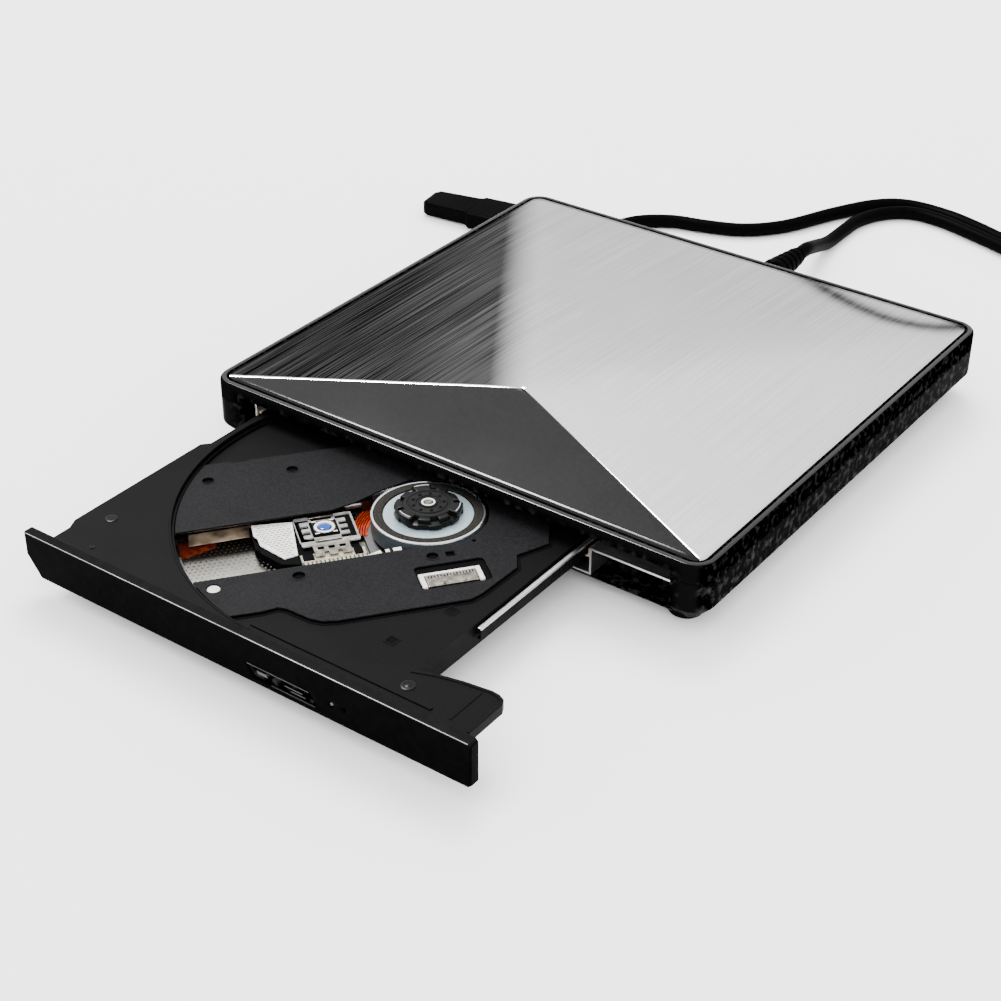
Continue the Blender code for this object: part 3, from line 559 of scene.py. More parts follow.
def case_loop(inset, steps=8):
    half = CASE_W / 2
    radius = max(CASE_CORNER - inset, 1.2)
    return rounded(inset - half, inset, half - inset, CASE_D - inset, radius, steps)


def ringed(section, **ends):
    """A skin round the case from a section of (inset, height)."""
    return skinned([[(x, y, z) for x, y in case_loop(inset)] for inset, z in section], **ends)


def slopes(x, y):
    """How far up the left, right and back facets a point is, from 0 at the rim to 1 at the peak."""
    return (x + LID_HALF) / LID_HALF, (LID_HALF - x) / LID_HALF, (LID_BACK - y) / (LID_BACK - APEX_Y)


def roof_height(x, y):
    total = sum(math.exp(-rise / RIDGE_SOFTNESS) for rise in slopes(x, y))
    return FRAME_TOP + APEX_RISE * max(-RIDGE_SOFTNESS * math.log(total), -0.005)


def smooth_step(low, high, value):
    t = min(max((value - low) / (high - low), 0), 1)
    return t * t * (3 - 2 * t)


# The path of a painted shade streak across the lid's far right corner.
SHADE_STREAK = smooth_route([
    (12.0, 148.0, 0), (22.0, 144.2, 0), (34.0, 139.3, 0), (43.0, 136.3, 0), (54.0, 134.8, 0),
    (64.0, 137.6, 0), (71.0, 144.0, 0),
], 6)
SHADE_STREAK_WIDTH = 3.3
SHADE_STREAK_DEPTH = 0.86


def lid_painted_light(point):
    """Painted reflections: dark on the left facet and a little lighter near the ridge, light on the right facet
    and a little less light on the back one, with a soft change at the ridge.

    A painted shade streak curves across the far right corner.
    """
    left, right, back = slopes(point.x, point.y)
    drop = min(right, back) - left
    light = max(smooth_step(0.19, -0.06, drop), 0.085 * smooth_step(0.8, 0.1, drop))
    light *= 0.80 + 0.20 * smooth_step(-0.5, 0.35, back - right)
    place = Vector((point.x, point.y, 0))
    gap = min((place - knot).length for knot in SHADE_STREAK)
    shadow = SHADE_STREAK_DEPTH * math.exp(-(gap / SHADE_STREAK_WIDTH) ** 2)
    return light * (1 - shadow * smooth_step(6, 30, point.x))


def fan(rim, peak, rows, height):
    """Rows of points from a rim in to a peak."""
    grid = []
    for row in range(rows + 1):
        t = row / rows
        inner = [(x + (peak[0] - x) * t, y + (peak[1] - y) * t) for x, y in rim]
        grid.append([(x, y, height(x, y, t)) for x, y in inner])
    return grid


def spaced(path, gap):
    """The same path with points no further apart than the gap."""
    out = []
    for (ax, ay), (bx, by) in zip(path, path[1:]):
        count = max(1, math.ceil(math.hypot(bx - ax, by - ay) / gap))
        for step in range(count):
            out.append((ax + (bx - ax) * step / count, ay + (by - ay) * step / count))
    return [*out, path[-1]]


def lid_corner(x_side, y, start, end, steps):
    """One rounded corner of the lid."""
    return arc((x_side * (LID_HALF - LID_CORNER), y), LID_CORNER, start, end, steps)


def make_lid():
    """The folded metal skin and the gloss pane in front of it."""
    near, far = LID_FRONT + LID_CORNER, LID_BACK - LID_CORNER
    corner_left = (-LID_HALF + LID_NIP, LID_FRONT + LID_NIP)
    corner_right = (LID_HALF - LID_NIP, LID_FRONT + LID_NIP)
    rim = [corner_left, *lid_corner(-1, near, 225, 180, 3)[1:], *lid_corner(-1, far, 180, 90, 6),
           *lid_corner(1, far, 90, 0, 6), *lid_corner(1, near, 0, -45, 3)[:-1], corner_right]
    peak = (0, APEX_Y)
    rows = fan(spaced(rim, 1.6), peak, 90, lambda x, y, t: roof_height(x, y))
    # The lid skin's colour carries painted reflections and a painted shade streak, laid by its mask.
    skin = piece("lid_skin", skinned(rows, wrap=False), CASE_PLAN, "case", "brushed_aluminium",
                 cad="lid_panel", crease=60, mask=lid_painted_light)
    depth = skin.modifiers.new("depth", "SOLIDIFY")
    depth.thickness = 0.9 * MM
    depth.offset = -1

    def border_height(x, y, t):
        side = corner_left[0] * (1 - t)
        return roof_height(side, corner_left[1] + (APEX_Y - corner_left[1]) * t) - 0.06

    front = [corner_left, *lid_corner(-1, near, 225, 270, 3)[1:], *lid_corner(1, near, 270, 315, 3)[:-1],
             corner_right]
    rows = fan(spaced(front, 3.0), peak, 24, border_height)
    facet = piece("front_pane", skinned(rows, wrap=False), CASE_PLAN, "case", "gloss_black",
                  cad="front_facet", crease=60)
    depth = facet.modifiers.new("depth", "SOLIDIFY")
    depth.thickness = 0.8 * MM
    depth.offset = -1

    # The left fold carries a painted highlight and the right fold painted shade.
    make_edge_trim("left", corner_left, 1.0, "fold_highlight")
    make_edge_trim("right", corner_right, 0.38, "fold_shade")


def make_edge_trim(name, corner, width, paint):
    """A strip along the fold from a front corner up to the peak; its paint is a painted highlight on the left fold
    and painted shade on the right one.
    """
    section = ((-0.5, -0.35), (-0.42, 0.03), (-0.2, 0.12), (0.2, 0.12), (0.42, 0.03), (0.5, -0.35))
    ahead = Vector((-corner[0], APEX_Y - corner[1])).normalized()
    across = Vector((-ahead.y, ahead.x))
    rows = []
    for step in range(41):
        t = step / 40
        x, y = corner[0] * (1 - t), corner[1] + (APEX_Y - corner[1]) * t
        height = roof_height(x, y)
        taper = min(1, (1 - t) * 12 + 0.3)
        rows.append([
            (x + across.x * off * width * taper, y + across.y * off * width * taper, height + lift)
            for off, lift in section
        ])
    piece(f"edge_trim_{name}", skinned(rows, caps=True), CASE_PLAN, "case", "brushed_aluminium", paint)


def make_rim():
    section = [
        (0, FRAME_LOW), (0, FRAME_TOP - 0.9), (0.08, FRAME_TOP - 0.5), (0.3, FRAME_TOP - 0.2),
        (0.7, FRAME_TOP - 0.02), (0.95, FRAME_TOP), (1.05, FRAME_TOP - 0.25), (1.3, FRAME_TOP - 0.25),
        (1.4, FRAME_TOP), (2.2, FRAME_TOP), (2.35, FRAME_TOP - 0.1), (2.4, FRAME_TOP - 0.4), (2.4, LEDGE_TOP),
        (6.5, LEDGE_TOP), (6.5, LEDGE_TOP - 0.8), (1.8, LEDGE_TOP - 0.8), (1.8, FRAME_LOW),
    ]
    # The rim's sides carry painted flecks of highlight; the mask keeps the front strip plain black.
    rim = piece("rim", ringed(section, close=True), CASE_PLAN, "case", "gloss_black", "rim_painted_sheen", cad="top_frame",
                crease=40, mask=lambda point: float(point.y < FRONT_STRIP))
    notch = block((MOUTH_LEFT, -2, 10), (MOUTH_RIGHT, 3.5, MOUTH_TOP), 0)
    cut(rim, (notch, CASE_PLAN))

    turns = [radians(turn) for turn in range(0, 360, 40)]
    bead = [(1.15 - 0.6 * cos(turn), FRAME_TOP - 0.03 + 0.1 * sin(turn)) for turn in turns]
    piece("rim_bead", ringed(bead, close=True), CASE_PLAN, "case", "gloss_black", "bead_gloss", crease=60)


def make_shell():
    floor = SHELL_BOTTOM + 1.2
    section = [
        (CHAMFER + 0.4, SHELL_BOTTOM), (CHAMFER, SHELL_BOTTOM + 0.05), (CHAMFER - 0.4, SHELL_BOTTOM + 0.25),
        (0.3, SHELL_BOTTOM + CHAMFER - 0.25), (0.06, SHELL_BOTTOM + CHAMFER + 0.1),
        (0, SHELL_BOTTOM + CHAMFER + 0.6), (0, SHELL_TOP - 0.25), (0.2, SHELL_TOP), (1.6, SHELL_TOP),
        (1.6, SHELL_BOTTOM + CHAMFER + 0.7), (CHAMFER + 0.6, floor),
    ]
    # The case's sides carry painted flecks of highlight; the mask keeps the underside and the front strip plain
    # black.
    shell = piece("case_shell", ringed(section, caps=True), CASE_PLAN, "case", "black_plastic", "painted_sheen_black",
                  cad="bottom_shell", crease=40,
                  mask=lambda point: float(point.z < SHELL_BOTTOM + 0.1 or point.y < FRONT_STRIP))
    mouth = block((MOUTH_LEFT, -2, floor + 0.1), (MOUTH_RIGHT, 6.5, 30), 0)
    port = block((PORT_X - 6.4, CASE_D - 4, 5.0), (PORT_X + 6.4, CASE_D + 3, 13.0), 0.8)
    cut(shell, (mouth, CASE_PLAN), (port, CASE_PLAN))


def under(node):
    """A plan centred on a CAD node, with its height left at zero."""
    low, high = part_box(node)
    middle = (low + high) / 2
    return Matrix.Translation((middle.x, middle.y, 0))


def make_feet():
    """Foot pads and the four screw heads, each with a cross cut in it."""
    for node in ("foot_front_left", "foot_front_right", "foot_rear_left", "foot_rear_right"):
        profile = [
            (0, 0.5), (2.9, 0.5), (3.2, 0.1), (3.5, 0), (3.9, 0.05), (4.2, 0.3),
            (4.8, 1.6), (4.8, 1.9), (0, 1.9),
        ]
        piece(node + "_pad", turned(profile, 48), under(node), "case", "rubber", cad=node)
    for node in ("case_screw_1", "case_screw_2", "case_screw_3", "case_screw_4"):
        head = turned([(0, 2.5), (1.9, 2.5), (2.1, 2.35), (2.05, 2.1), (1.7, 2.0), (0, 2.0)], 36)
        screw = piece(node + "_head", head, under(node), "case", "sheet_steel", cad=node)
        for wide, deep in ((1.2, 0.2), (0.2, 1.2)):
            cut(screw, (block((-wide, -deep, 1.5), (wide, deep, 2.25), 0), under(node)))


# ---- bezel

def make_bezel():
    outline = [(-64.4, 15.6), (-64.4, 9.5), (-60.2, 4.0), (65.0, 4.0), (65.8, 4.8), (65.8, 14.9), (65.1, 15.6)]
    opening = [(4.6, 8.9), (22.7, 8.9), (24.7, 5.8), (6.6, 5.8)]
    panel = plate([outline, opening, circle(28.9, 8.6, 0.6, 24), circle(32.4, 8.7, 0.5, 20)], -3.0, 0.0, 0.5, 3)
    # The mask lays painted light on the bezel's top faces.
    piece("bezel_panel", panel, TRAY_PLAN @ UPRIGHT, "tray", "gloss_black", "bezel_painted_top_light", cad="bezel",
          crease=35, mask=lambda point: float(point.y > 15.35))
    # A painted highlight: a thin grey metal strip along the bezel's top front edge.
    edge = block((-63.9, 0.06, 15.27), (65.0, 0.34, 15.5), 0.1)
    piece("bezel_highlight_line", edge, TRAY_PLAN, "tray", "gloss_black", "dark_steel")
    face = [(5.1, 8.6), (22.5, 8.6), (24.2, 6.1), (6.8, 6.1)]
    # The button's colour carries painted flecks of highlight.
    piece("button_cap", plate([face], -2.6, -0.2, 0.3, 2), TRAY_PLAN @ UPRIGHT, "eject_button",
          "gloss_black", "painted_sheen_black", cad="eject_button")
    marks = (
        [(7.6, 7.9), (10.4, 7.9), (10.8, 7.1), (8.0, 7.1)],
        [(15.6, 7.5), (20.6, 7.5), (20.7, 7.25), (15.7, 7.25)],
        [(17.4, 6.75), (21.4, 6.75), (21.5, 6.5), (17.5, 6.5)],
    )
    piece("button_marks", joined(*(plate([mark], -0.25, -0.12, 0.03) for mark in marks)),
          TRAY_PLAN @ UPRIGHT, "eject_button", "sheet_steel", "dark_steel")
    # Painted highlights: thin grey lines along the top and bottom edges of the button's opening.
    lines = (
        [(4.9, 9.0), (22.6, 9.0), (22.6, 8.82), (4.9, 8.82)],
        [(12.0, 5.82), (24.4, 5.82), (24.4, 5.68), (12.0, 5.68)],
    )
    piece("recess_highlight_lines", joined(*(plate([line], -0.3, 0.06, 0.03) for line in lines)),
          TRAY_PLAN @ UPRIGHT, "tray", "gloss_black", "dark_steel")
    lens = turned([(0, 0), (0.45, 0), (0.45, 2.7), (0.35, 2.82), (0.2, 2.88), (0, 2.9)], 24)
    piece("status_lens", lens, placed(TRAY_PLAN, 28.9, 2.95, 8.6) @ UPRIGHT, "tray", "led_lens",
          cad="led_window")


# ---- tray

RECESS_FLOOR = 12.6
RECESS_SPANS = ((56, 65.5), (114.5, 268))  # in degrees, within the tray's edges
TRAY_TOP = 14.3
COVER_LOW = 12.9
COVER_TOP = 13.3
HUB_LIFT = 0.4
HUB_PLAN = placed(SPINDLE_PLAN, 0, 0, HUB_LIFT)
SPINDLE_XY = (SPINDLE.x / MM, (SPINDLE.y - TRAY_FRONT) / MM)


def ring_arc(inner, outer, start, end, steps=120):
    return arc(SPINDLE_XY, outer, start, end, steps) + arc(SPINDLE_XY, inner, end, start, steps)


def make_tray_details():
    """Lips, marks, screws and small openings moulded in the tray."""
    for name, inner, outer, low, high in (
            ("recess_lip", 60.9, 61.5, TRAY_TOP - 0.4, TRAY_TOP + 0.12),
            ("recess_step", 60.25, 61.05, RECESS_FLOOR - 0.2, RECESS_FLOOR + 0.75)):
        rings = [plate([ring_arc(inner, outer, *span)], low, high, 0.1) for span in RECESS_SPANS]
        piece(name, joined(*rings), TRAY_PLAN, "tray", "tray_plastic")
    for number, (x, y) in enumerate(((28.6, 21.2), (32.5, 37.7)), 1):
        frame_loop = rounded(x - 1.5, y - 1.5, x + 1.5, y + 1.5, 0.3, 2)
        hole = rounded(x - 1.1, y - 1.1, x + 1.1, y + 1.1, 0.2, 2)
        piece(f"square_eye_{number}", plate([frame_loop, hole], RECESS_FLOOR - 0.1, RECESS_FLOOR + 0.12, 0.05),
              TRAY_PLAN, "tray", "tray_plastic")
        # Painted shade: a deep black floor in each square opening.
        piece(f"square_hole_shade_{number}", block((x - 1.1, y - 1.1, 12.5), (x + 1.1, y + 1.1, 12.64), 0.02),
              TRAY_PLAN, "tray", "tray_plastic", "deep_black")
    rib = plate([[(51.5, 5.3), (1.6, 5.3), (1.6, 6.2), (51.5, 6.2)]], TRAY_TOP - 0.2, TRAY_TOP + 0.3, 0.1)
    piece("front_rib", rib, TRAY_PLAN, "tray", "tray_plastic")
    for name, x, y, radius in (
            ("rivet", 42.6, 9.2, 1.7), ("tray_screw", -53.4, 17.5, 1.5), ("tray_mark", -48.3, 6.3, 0.7)):
        head = turned([
            (0, 14.2), (radius, 14.2), (radius, 14.42), (radius * 0.85, 14.5), (radius * 0.62, 14.5),
            (radius * 0.55, 14.4), (radius * 0.4, 14.4), (radius * 0.3, 14.5), (0, 14.5),
        ], 28)
        piece(name, head, placed(TRAY_PLAN, x, y), "tray", "tray_plastic", "black_plastic")
    emboss = [(56.1, 5.4), (56.7, 5.4), (56.7, 16.5), (56.1, 16.5)]
    piece("wing_emboss", plate([emboss], TRAY_TOP - 0.2, TRAY_TOP + 0.15, 0.08), TRAY_PLAN,
          "tray", "tray_plastic")
    rim = [
        (40.2, 13.0), (45.2, 14.9), (51.1, 16.3), (58.0, 17.3), (59.7, 17.1), (61.0, 16.4), (61.6, 15.3),
        (61.6, 4.2), (62.4, 4.2), (62.4, 15.6), (61.6, 17.2), (60.0, 18.0), (58.0, 18.2), (51.0, 17.2),
        (45.0, 15.8), (39.9, 13.9),
    ]
    piece("wing_rim", plate([rim], TRAY_TOP - 0.3, TRAY_TOP + 0.2, 0.1), TRAY_PLAN, "tray", "tray_plastic")


COVER_HOLES = {
    "far": (48.5, -28.4, 1.45), "near": (27.6, -28.2, 1.45), "low": (34.9, 17.4, 1.5), "hub": (3.6, 17.9, 1.42),
}
PIN_PLACE = (54.4, 17.2)


def window_loop():
    return rounded(-7.6, 21.3, 9.1, 30.3, 1.2, 4)


def make_cover():
    """The textured cover, a painted shadow band round its edge, and the collars, painted shade, pin and tabs in
    its holes.
    """
    left, right, edge = -36.0, 36.6, 60.1
    outline = arc((0, 0), edge, -math.degrees(math.asin(-left / edge)), 28.5, 40)
    outline += [
        (45.2, 28.8), (41.9, 28.2), (40.0, 29.2), (38.0, 31.6), (35.6, 34.4), (33.2, 35.9), (30.0, right),
        (-0.6, right), (-3.8, 35.0), (-14.1, 27.4), (-15.4, 22.6), (-24.0, 20.0), (-28.0, 8.0), (-28.0, -20.0),
        (-18.0, -34.0), (-10.0, left + 0.5), (37.0, left + 0.5), (38.0, left + 0.9), (41.0, left + 0.9),
        (42.0, left),
    ]
    holes = [
        circle(*COVER_HOLES["far"]), circle(*COVER_HOLES["near"]), circle(*PIN_PLACE, 1.6),
        circle(*COVER_HOLES["low"]), circle(*COVER_HOLES["hub"]), circle(-7.4, 14.2, 0.5, 16),
        rounded(-1.7, 17.0, 0.4, 19.0, 0.2, 2), window_loop(),
    ]
    skin = piece("cover_plate", plate([outline, *holes], COVER_LOW, COVER_TOP, 0.1), SLED_PLAN, "tray",
                 "textured_steel", cad="mechanism_cover", crease=30)
    # A painted shadow: a deep black band on the recess floor, a little wider than the cover, under its edge.
    shadow_band = plate([outline], RECESS_FLOOR - 0.1, RECESS_FLOOR + 0.1, 0.03, grow=0.85)
    shadow_band = piece("cover_shadow_band", shadow_band, SLED_PLAN, "tray", "tray_plastic", "deep_black")
    opening = [(0, -16), (8.5, -13.1), (15.7, -9.5), (22.1, -7.6), (75, -7.6), (75, 13.65), (0, 13.65)]
    well = turned([(0, 10), (14.6, 10), (14.6, 16), (0, 16)], 96)
    cut(skin, (prism(opening, 10, 16), SLED_PLAN), (well, SPINDLE_PLAN))
    well = turned([(0, 10), (15.5, 10), (15.5, 16), (0, 16)], 64)
    opening = [(0, -17), (22, -9.0), (75, -9.0), (75, 15.0), (0, 15.0)]
    cut(shadow_band, (prism(opening, 10, 16), SLED_PLAN), (well, SPINDLE_PLAN))

    for name, (a, b, radius) in COVER_HOLES.items():
        outer = radius + 0.35
        collar = turned([(radius, 13.1), (outer, 13.1), (outer, 13.4), (radius, 13.4), (radius, 13.1)], 32)
        piece(f"cover_collar_{name}", collar, placed(SLED_PLAN, a, b), "tray", "textured_steel")
        # Painted shade: a deep black disc at the bottom of each hole.
        hole_shade = turned([(0, 12.62), (radius, 12.62), (radius, 12.75), (0, 12.75)], 24)
        piece(f"cover_hole_shade_{name}", hole_shade, placed(SLED_PLAN, a, b), "tray", "tray_plastic", "deep_black")
    tabs = joined(
        block((9.6, 11.7, 12.7), (11.6, 12.9, 13.0), 0.1), block((12.5, 11.9, 12.7), (13.5, 13.0, 13.05), 0.1),
        plate([[(14.4, 12.9), (18.2, 13.1), (14.6, 11.7)]], 12.7, 12.95, 0.05),
    )
    piece("ribbon_tabs", tabs, SLED_PLAN, "tray", "white_plastic")
    pin = turned([(0, 12.6), (1.5, 12.6), (1.5, 13.0), (1.3, 13.1), (0, 13.1)], 28)
    piece("white_pin", pin, placed(SLED_PLAN, *PIN_PLACE), "tray", "white_plastic")
    # Painted shade: a deep black floor under the cover's window.
    piece("window_shade", plate([window_loop()], 12.61, 12.75, 0.03), SLED_PLAN, "tray", "tray_plastic",
          "deep_black")


def make_ribbon_clamp():
    """The flat metal connector in the cover's window, its tick marks and its white ends."""
    metal = joined(
        block((-4.4, 25.5, 12.8), (7.4, 30.0, 13.55), 0.15),
        block((-1.6, 29.0, 13.5), (-0.6, 29.7, 13.68), 0.05),
        block((3.4, 29.0, 13.5), (4.4, 29.7, 13.68), 0.05),
        block((-2.6, 27.1, 13.5), (5.4, 27.35, 13.62), 0.04),
    )
    piece("ribbon_clamp", metal, SLED_PLAN, "tray", "sheet_steel", "aged_steel", cad="flex_connector")
    ticks = [block((-3.9 + step * 0.75, 26.0, 13.5), (-3.65 + step * 0.75, 26.8, 13.6), 0.02)
             for step in range(15)]
    piece("ribbon_ticks", joined(*ticks), SLED_PLAN, "tray", "black_plastic", "deep_black")
    ends = joined(
        block((-5.8, 24.6, 12.8), (-4.6, 30.0, 13.6), 0.2), block((7.6, 24.6, 12.8), (8.8, 30.0, 13.6), 0.2),
        block((-4.6, 24.4, 12.8), (7.6, 25.3, 13.4), 0.15),
    )
    piece("ribbon_ends", ends, SLED_PLAN, "tray", "white_plastic")


def make_belly():
    """The pierced plate under the pickup's travel, with its pattern of dimples."""
    outline = [(15.5, -13.0), (61.8, -13.0), (61.8, 9.6), (56.0, 22.0), (15.5, 22.0)]
    # The mask lays painted shade on the plate and its dimples, darker towards low b and the far end of the travel.
    piece("belly_plate", plate([outline], 6.6, 6.85, 0.05), SLED_PLAN, "tray", "sheet_steel", "belly_steel",
          mask=lambda point: smooth_step(-7.0, 10.0, point.y + (point.x - 50.0) * -0.25))
    ribbon = plate([[(50.0, -12.5), (61.0, -12.5), (61.0, -6.5), (58.0, -5.5), (50.0, -8.5)]], 6.85, 7.0, 0.03)
    piece("belly_ribbon", ribbon, SLED_PLAN, "tray", "copper_flex", "dark_copper")
    dots = []
    for row in range(24):
        for column in range(30):
            a = 24.0 + column * 1.25 + (row % 2) * 0.62
            b = -12.0 + row * 1.25
            if a < 60.8 and b < 21 and b < 9 + (60.8 - a) * 1.9:
                dots.append(turned([(0, 6.95), (0.2, 6.95), (0.26, 6.84), (0, 6.84)], 8))
                dots[-1].transform(Matrix.Translation((a, b, 0)))
    piece("belly_dimples", joined(*dots), SLED_PLAN, "tray", "sheet_steel", "belly_dots",
          mask=lambda point: smooth_step(-6.0, 11.0, point.y + (point.x - 50.0) * -0.25))
    strip = plate([[(40.5, -13.6), (56.0, -13.4), (56.6, -8.6), (40.8, -8.9)]], 8.05, 8.3, 0.05)
    piece("grease_strip", strip, SLED_PLAN, "tray", "sheet_steel", "greased_metal")


# ---- spindle

def make_spindle():
    rotor = [
        (0, 13.1), (10.95, 13.1), (11.0, 12.9), (13.25, 12.9), (13.25, 13.55), (13.35, 13.7), (13.65, 13.7),
        (13.85, 13.6), (13.9, 13.35), (13.9, 9.3), (13.7, 9.0), (0, 9.0),
    ]
    piece("rotor", turned(rotor, 128), SPINDLE_PLAN, "spindle", "rotor_steel", cad="turntable",
          crease=40)
    lip = [
        (13.3, 13.5), (13.25, 13.66), (13.4, 13.76), (13.65, 13.76), (13.86, 13.62), (13.93, 13.4),
        (13.8, 13.3), (13.3, 13.5),
    ]
    piece("rotor_lip", turned(lip, 128), SPINDLE_PLAN, "spindle", "rotor_steel", "rotor_lip")
    disc = [
        (7.4, 13.0), (10.9, 13.0), (10.9, 13.25), (10.6, 13.32), (9.5, 13.32), (9.4, 13.26), (9.2, 13.26),
        (9.1, 13.32), (7.4, 13.32), (7.4, 13.0),
    ]
    piece("rotor_disc", turned(disc, 96), SPINDLE_PLAN, "spindle", "rotor_steel", "pale_disc")
    make_grip_ring()
    make_hub()


def make_grip_ring():
    """The knurled rubber ring that the disc sits on."""
    rows = []
    teeth = 88
    for step in range(teeth * 2):
        turn = pi * step / teeth
        lift = 0.12 if step % 2 else -0.1
        ring = [
            (11.12, 12.85), (11.12, 13.5), (11.4, 13.6 + lift), (11.9, 13.62 - lift), (12.4, 13.62 + lift),
            (12.85, 13.6 - lift), (13.12, 13.5), (13.12, 12.85),
        ]
        rows.append([(radius * cos(turn), radius * sin(turn), z) for radius, z in ring])
    piece("grip_ring", skinned(rows, close=True), SPINDLE_PLAN, "spindle", "rubber_pad",
          cad="turntable_pad", crease=20)


def make_hub():
    """The clamping hub with its three sprung jaws, and the end of the shaft."""
    hub = [
        (1.7, 13.3), (7.9, 13.3), (8.05, 13.6), (8.0, 14.5), (7.6, 14.75),
        (6.3, 14.8), (6.2, 15.7), (6.0, 15.9),
        (5.2, 15.95), (5.05, 15.8), (4.7, 15.8), (4.55, 16.0), (3.0, 16.05), (2.85, 15.85), (2.3, 15.85),
        (2.15, 16.1), (1.7, 16.1), (1.7, 13.3),
    ]

    def lobes(turn, radius, z):
        return 0.35 * (cos(9 * turn) > -0.2) * (radius > 7) * (z < 14.6)

    piece("hub_core", turned(hub, 180, lobes), HUB_PLAN, "spindle", "black_plastic",
          cad="clamp_hub", crease=35)
    jaws, pins, hole_shades = [], [], []
    for degrees in range(20, 380, 40):
        jaw = degrees % 120 == 20
        wide, out, top = (17, 8.3, 16.0) if jaw else (12, 7.5, 15.75)
        sector = arc((0, 0), out, degrees - wide, degrees + wide, 8)
        sector += arc((0, 0), 5.4, degrees + wide, degrees - wide, 8)
        jaws.append(plate([sector], 14.6, top, 0.25, 2))
        if jaw:
            ridge = arc((0, 0), out - 0.5, degrees - wide + 3, degrees + wide - 3, 6)
            ridge += arc((0, 0), out - 0.75, degrees + wide - 3, degrees - wide + 3, 6)
            pins.append(plate([ridge], 15.9, 16.1, 0.06))
        eye = turned([(0, 15.9), (0.42, 15.9), (0.42, 16.08), (0, 16.08)], 14)
        eye.transform(Matrix.Rotation(radians(degrees + 20), 4, "Z") @ Matrix.Translation((3.75, 0, 0)))
        hole_shades.append(eye)
    piece("hub_jaws", joined(*jaws), HUB_PLAN, "spindle", "black_plastic")
    piece("hub_pins", joined(*pins), HUB_PLAN, "spindle", "sheet_steel")
    # Painted shade: deep black discs for the small holes in the hub's top.
    piece("hub_hole_shades", joined(*hole_shades), HUB_PLAN, "spindle", "black_plastic", "deep_black")
    shaft = [(0, 13.5), (0.95, 13.5), (0.95, 16.0), (0.8, 16.15), (0.45, 16.15), (0.35, 16.05), (0, 16.0)]
    piece("shaft_tip", turned(shaft, 32), HUB_PLAN, "spindle", "sheet_steel", "aged_steel",
          cad="spindle_shaft")
    ring = [(1.25, 15.7), (1.68, 15.7), (1.68, 16.1), (1.58, 16.18), (1.35, 16.18), (1.25, 16.1), (1.25, 15.7)]
    piece("shaft_ring", turned(ring, 40), HUB_PLAN, "spindle", "sheet_steel", "white_plastic")


# ---- pickup

def inside(point, loop):
    x, y = point
    found = False
    for (ax, ay), (bx, by) in zip(loop, loop[1:] + loop[:1]):
        if (ay > y) != (by > y) and x < (bx - ax) * (y - ay) / (by - ay) + ax:
            found = not found
    return found


LENS_PLACE = (24.9, -2.4)
WELL_RADIUS = 2.4


def make_heat_shield():
    """The pickup's white shield with its rows of slots, over a dark core."""
    shield = [(31.8, -7.2), (41.5, -8.3), (41.7, -3.6), (41.0, -2.4), (40.9, 0.6), (36.4, 7.6), (33.1, 6.8)]
    slots = []
    for row in range(16):
        for column in range(9):
            a = 32.5 + column * 1.15 + (row % 2) * 0.55
            b = -7.5 + row * 0.92
            corners = [(a - 0.7, b - 0.4), (a + 0.75, b - 0.4), (a + 0.75, b + 0.4), (a - 0.7, b + 0.4)]
            if all(inside(corner, shield) for corner in corners):
                slots.append(rounded(a - 0.36, b - 0.2, a + 0.42, b + 0.2, 0.1, 1))
    piece("heat_shield", plate([shield, *slots], 11.45, 11.75, 0.03), SLED_PLAN, "pickup", "white_plastic",
          cad="pickup_shield")
    core = plate([shield], 10.9, 11.4, 0.05)
    side = plate([[(33.2, 7.0), (36.6, 7.8), (41.0, 0.9), (41.4, 3.4),
                  (37.4, 9.4), (33.0, 10.6)]], 10.9, 11.5, 0.1)
    piece("shield_core", joined(core, side), SLED_PLAN, "pickup", "black_plastic", "deep_black")


def make_actuator():
    """The frame, the black base under it and the magnets round the lens."""
    frame_loop = rounded(17.4, -8.3, 31.5, 4.0, 0.5, 3)
    left_e = [
        (17.9, -7.5), (21.6, -7.5), (21.6, -6.0), (19.3, -6.0), (19.3, -4.6), (21.2, -4.6), (21.2, -3.2),
        (19.3, -3.2), (19.3, -1.9), (21.2, -1.9), (21.2, -0.5), (19.3, -0.5), (19.3, 0.8), (21.6, 0.8),
        (21.6, 2.3), (17.9, 2.3),
    ]
    right_e = [(49.6 - x, y) for x, y in left_e]
    well = circle(*LENS_PLACE, WELL_RADIUS)
    holes = [
        left_e, right_e, well, rounded(22.4, -7.4, 27.4, -6.3, 0.2, 2),
        rounded(22.4, 1.6, 27.4, 3.0, 0.2, 2),
    ]
    piece("actuator_frame", plate([frame_loop, *holes], 11.35, 11.75, 0.06),
          SLED_PLAN, "pickup", "white_plastic",
          "grey_flex", cad="lens_actuator")
    base = joined(
        plate([rounded(17.6, -8.1, 31.3, 3.8, 0.4, 2), well], 10.8, 11.3, 0.1),
        plate([rounded(21.6, -5.7, 28.2, 0.9, 0.5, 2), well], 11.3, 11.95, 0.1),
    )
    piece("actuator_base", base, SLED_PLAN, "pickup", "black_plastic", "deep_black")
    magnets = joined(
        block((21.8, -8.1, 11.6), (28.0, -6.9, 12.2), 0.12), block((21.8, 1.9, 11.6), (28.0, 3.1, 12.2), 0.12))
    piece("actuator_yokes", magnets, SLED_PLAN, "pickup", "sheet_steel", "aged_steel")


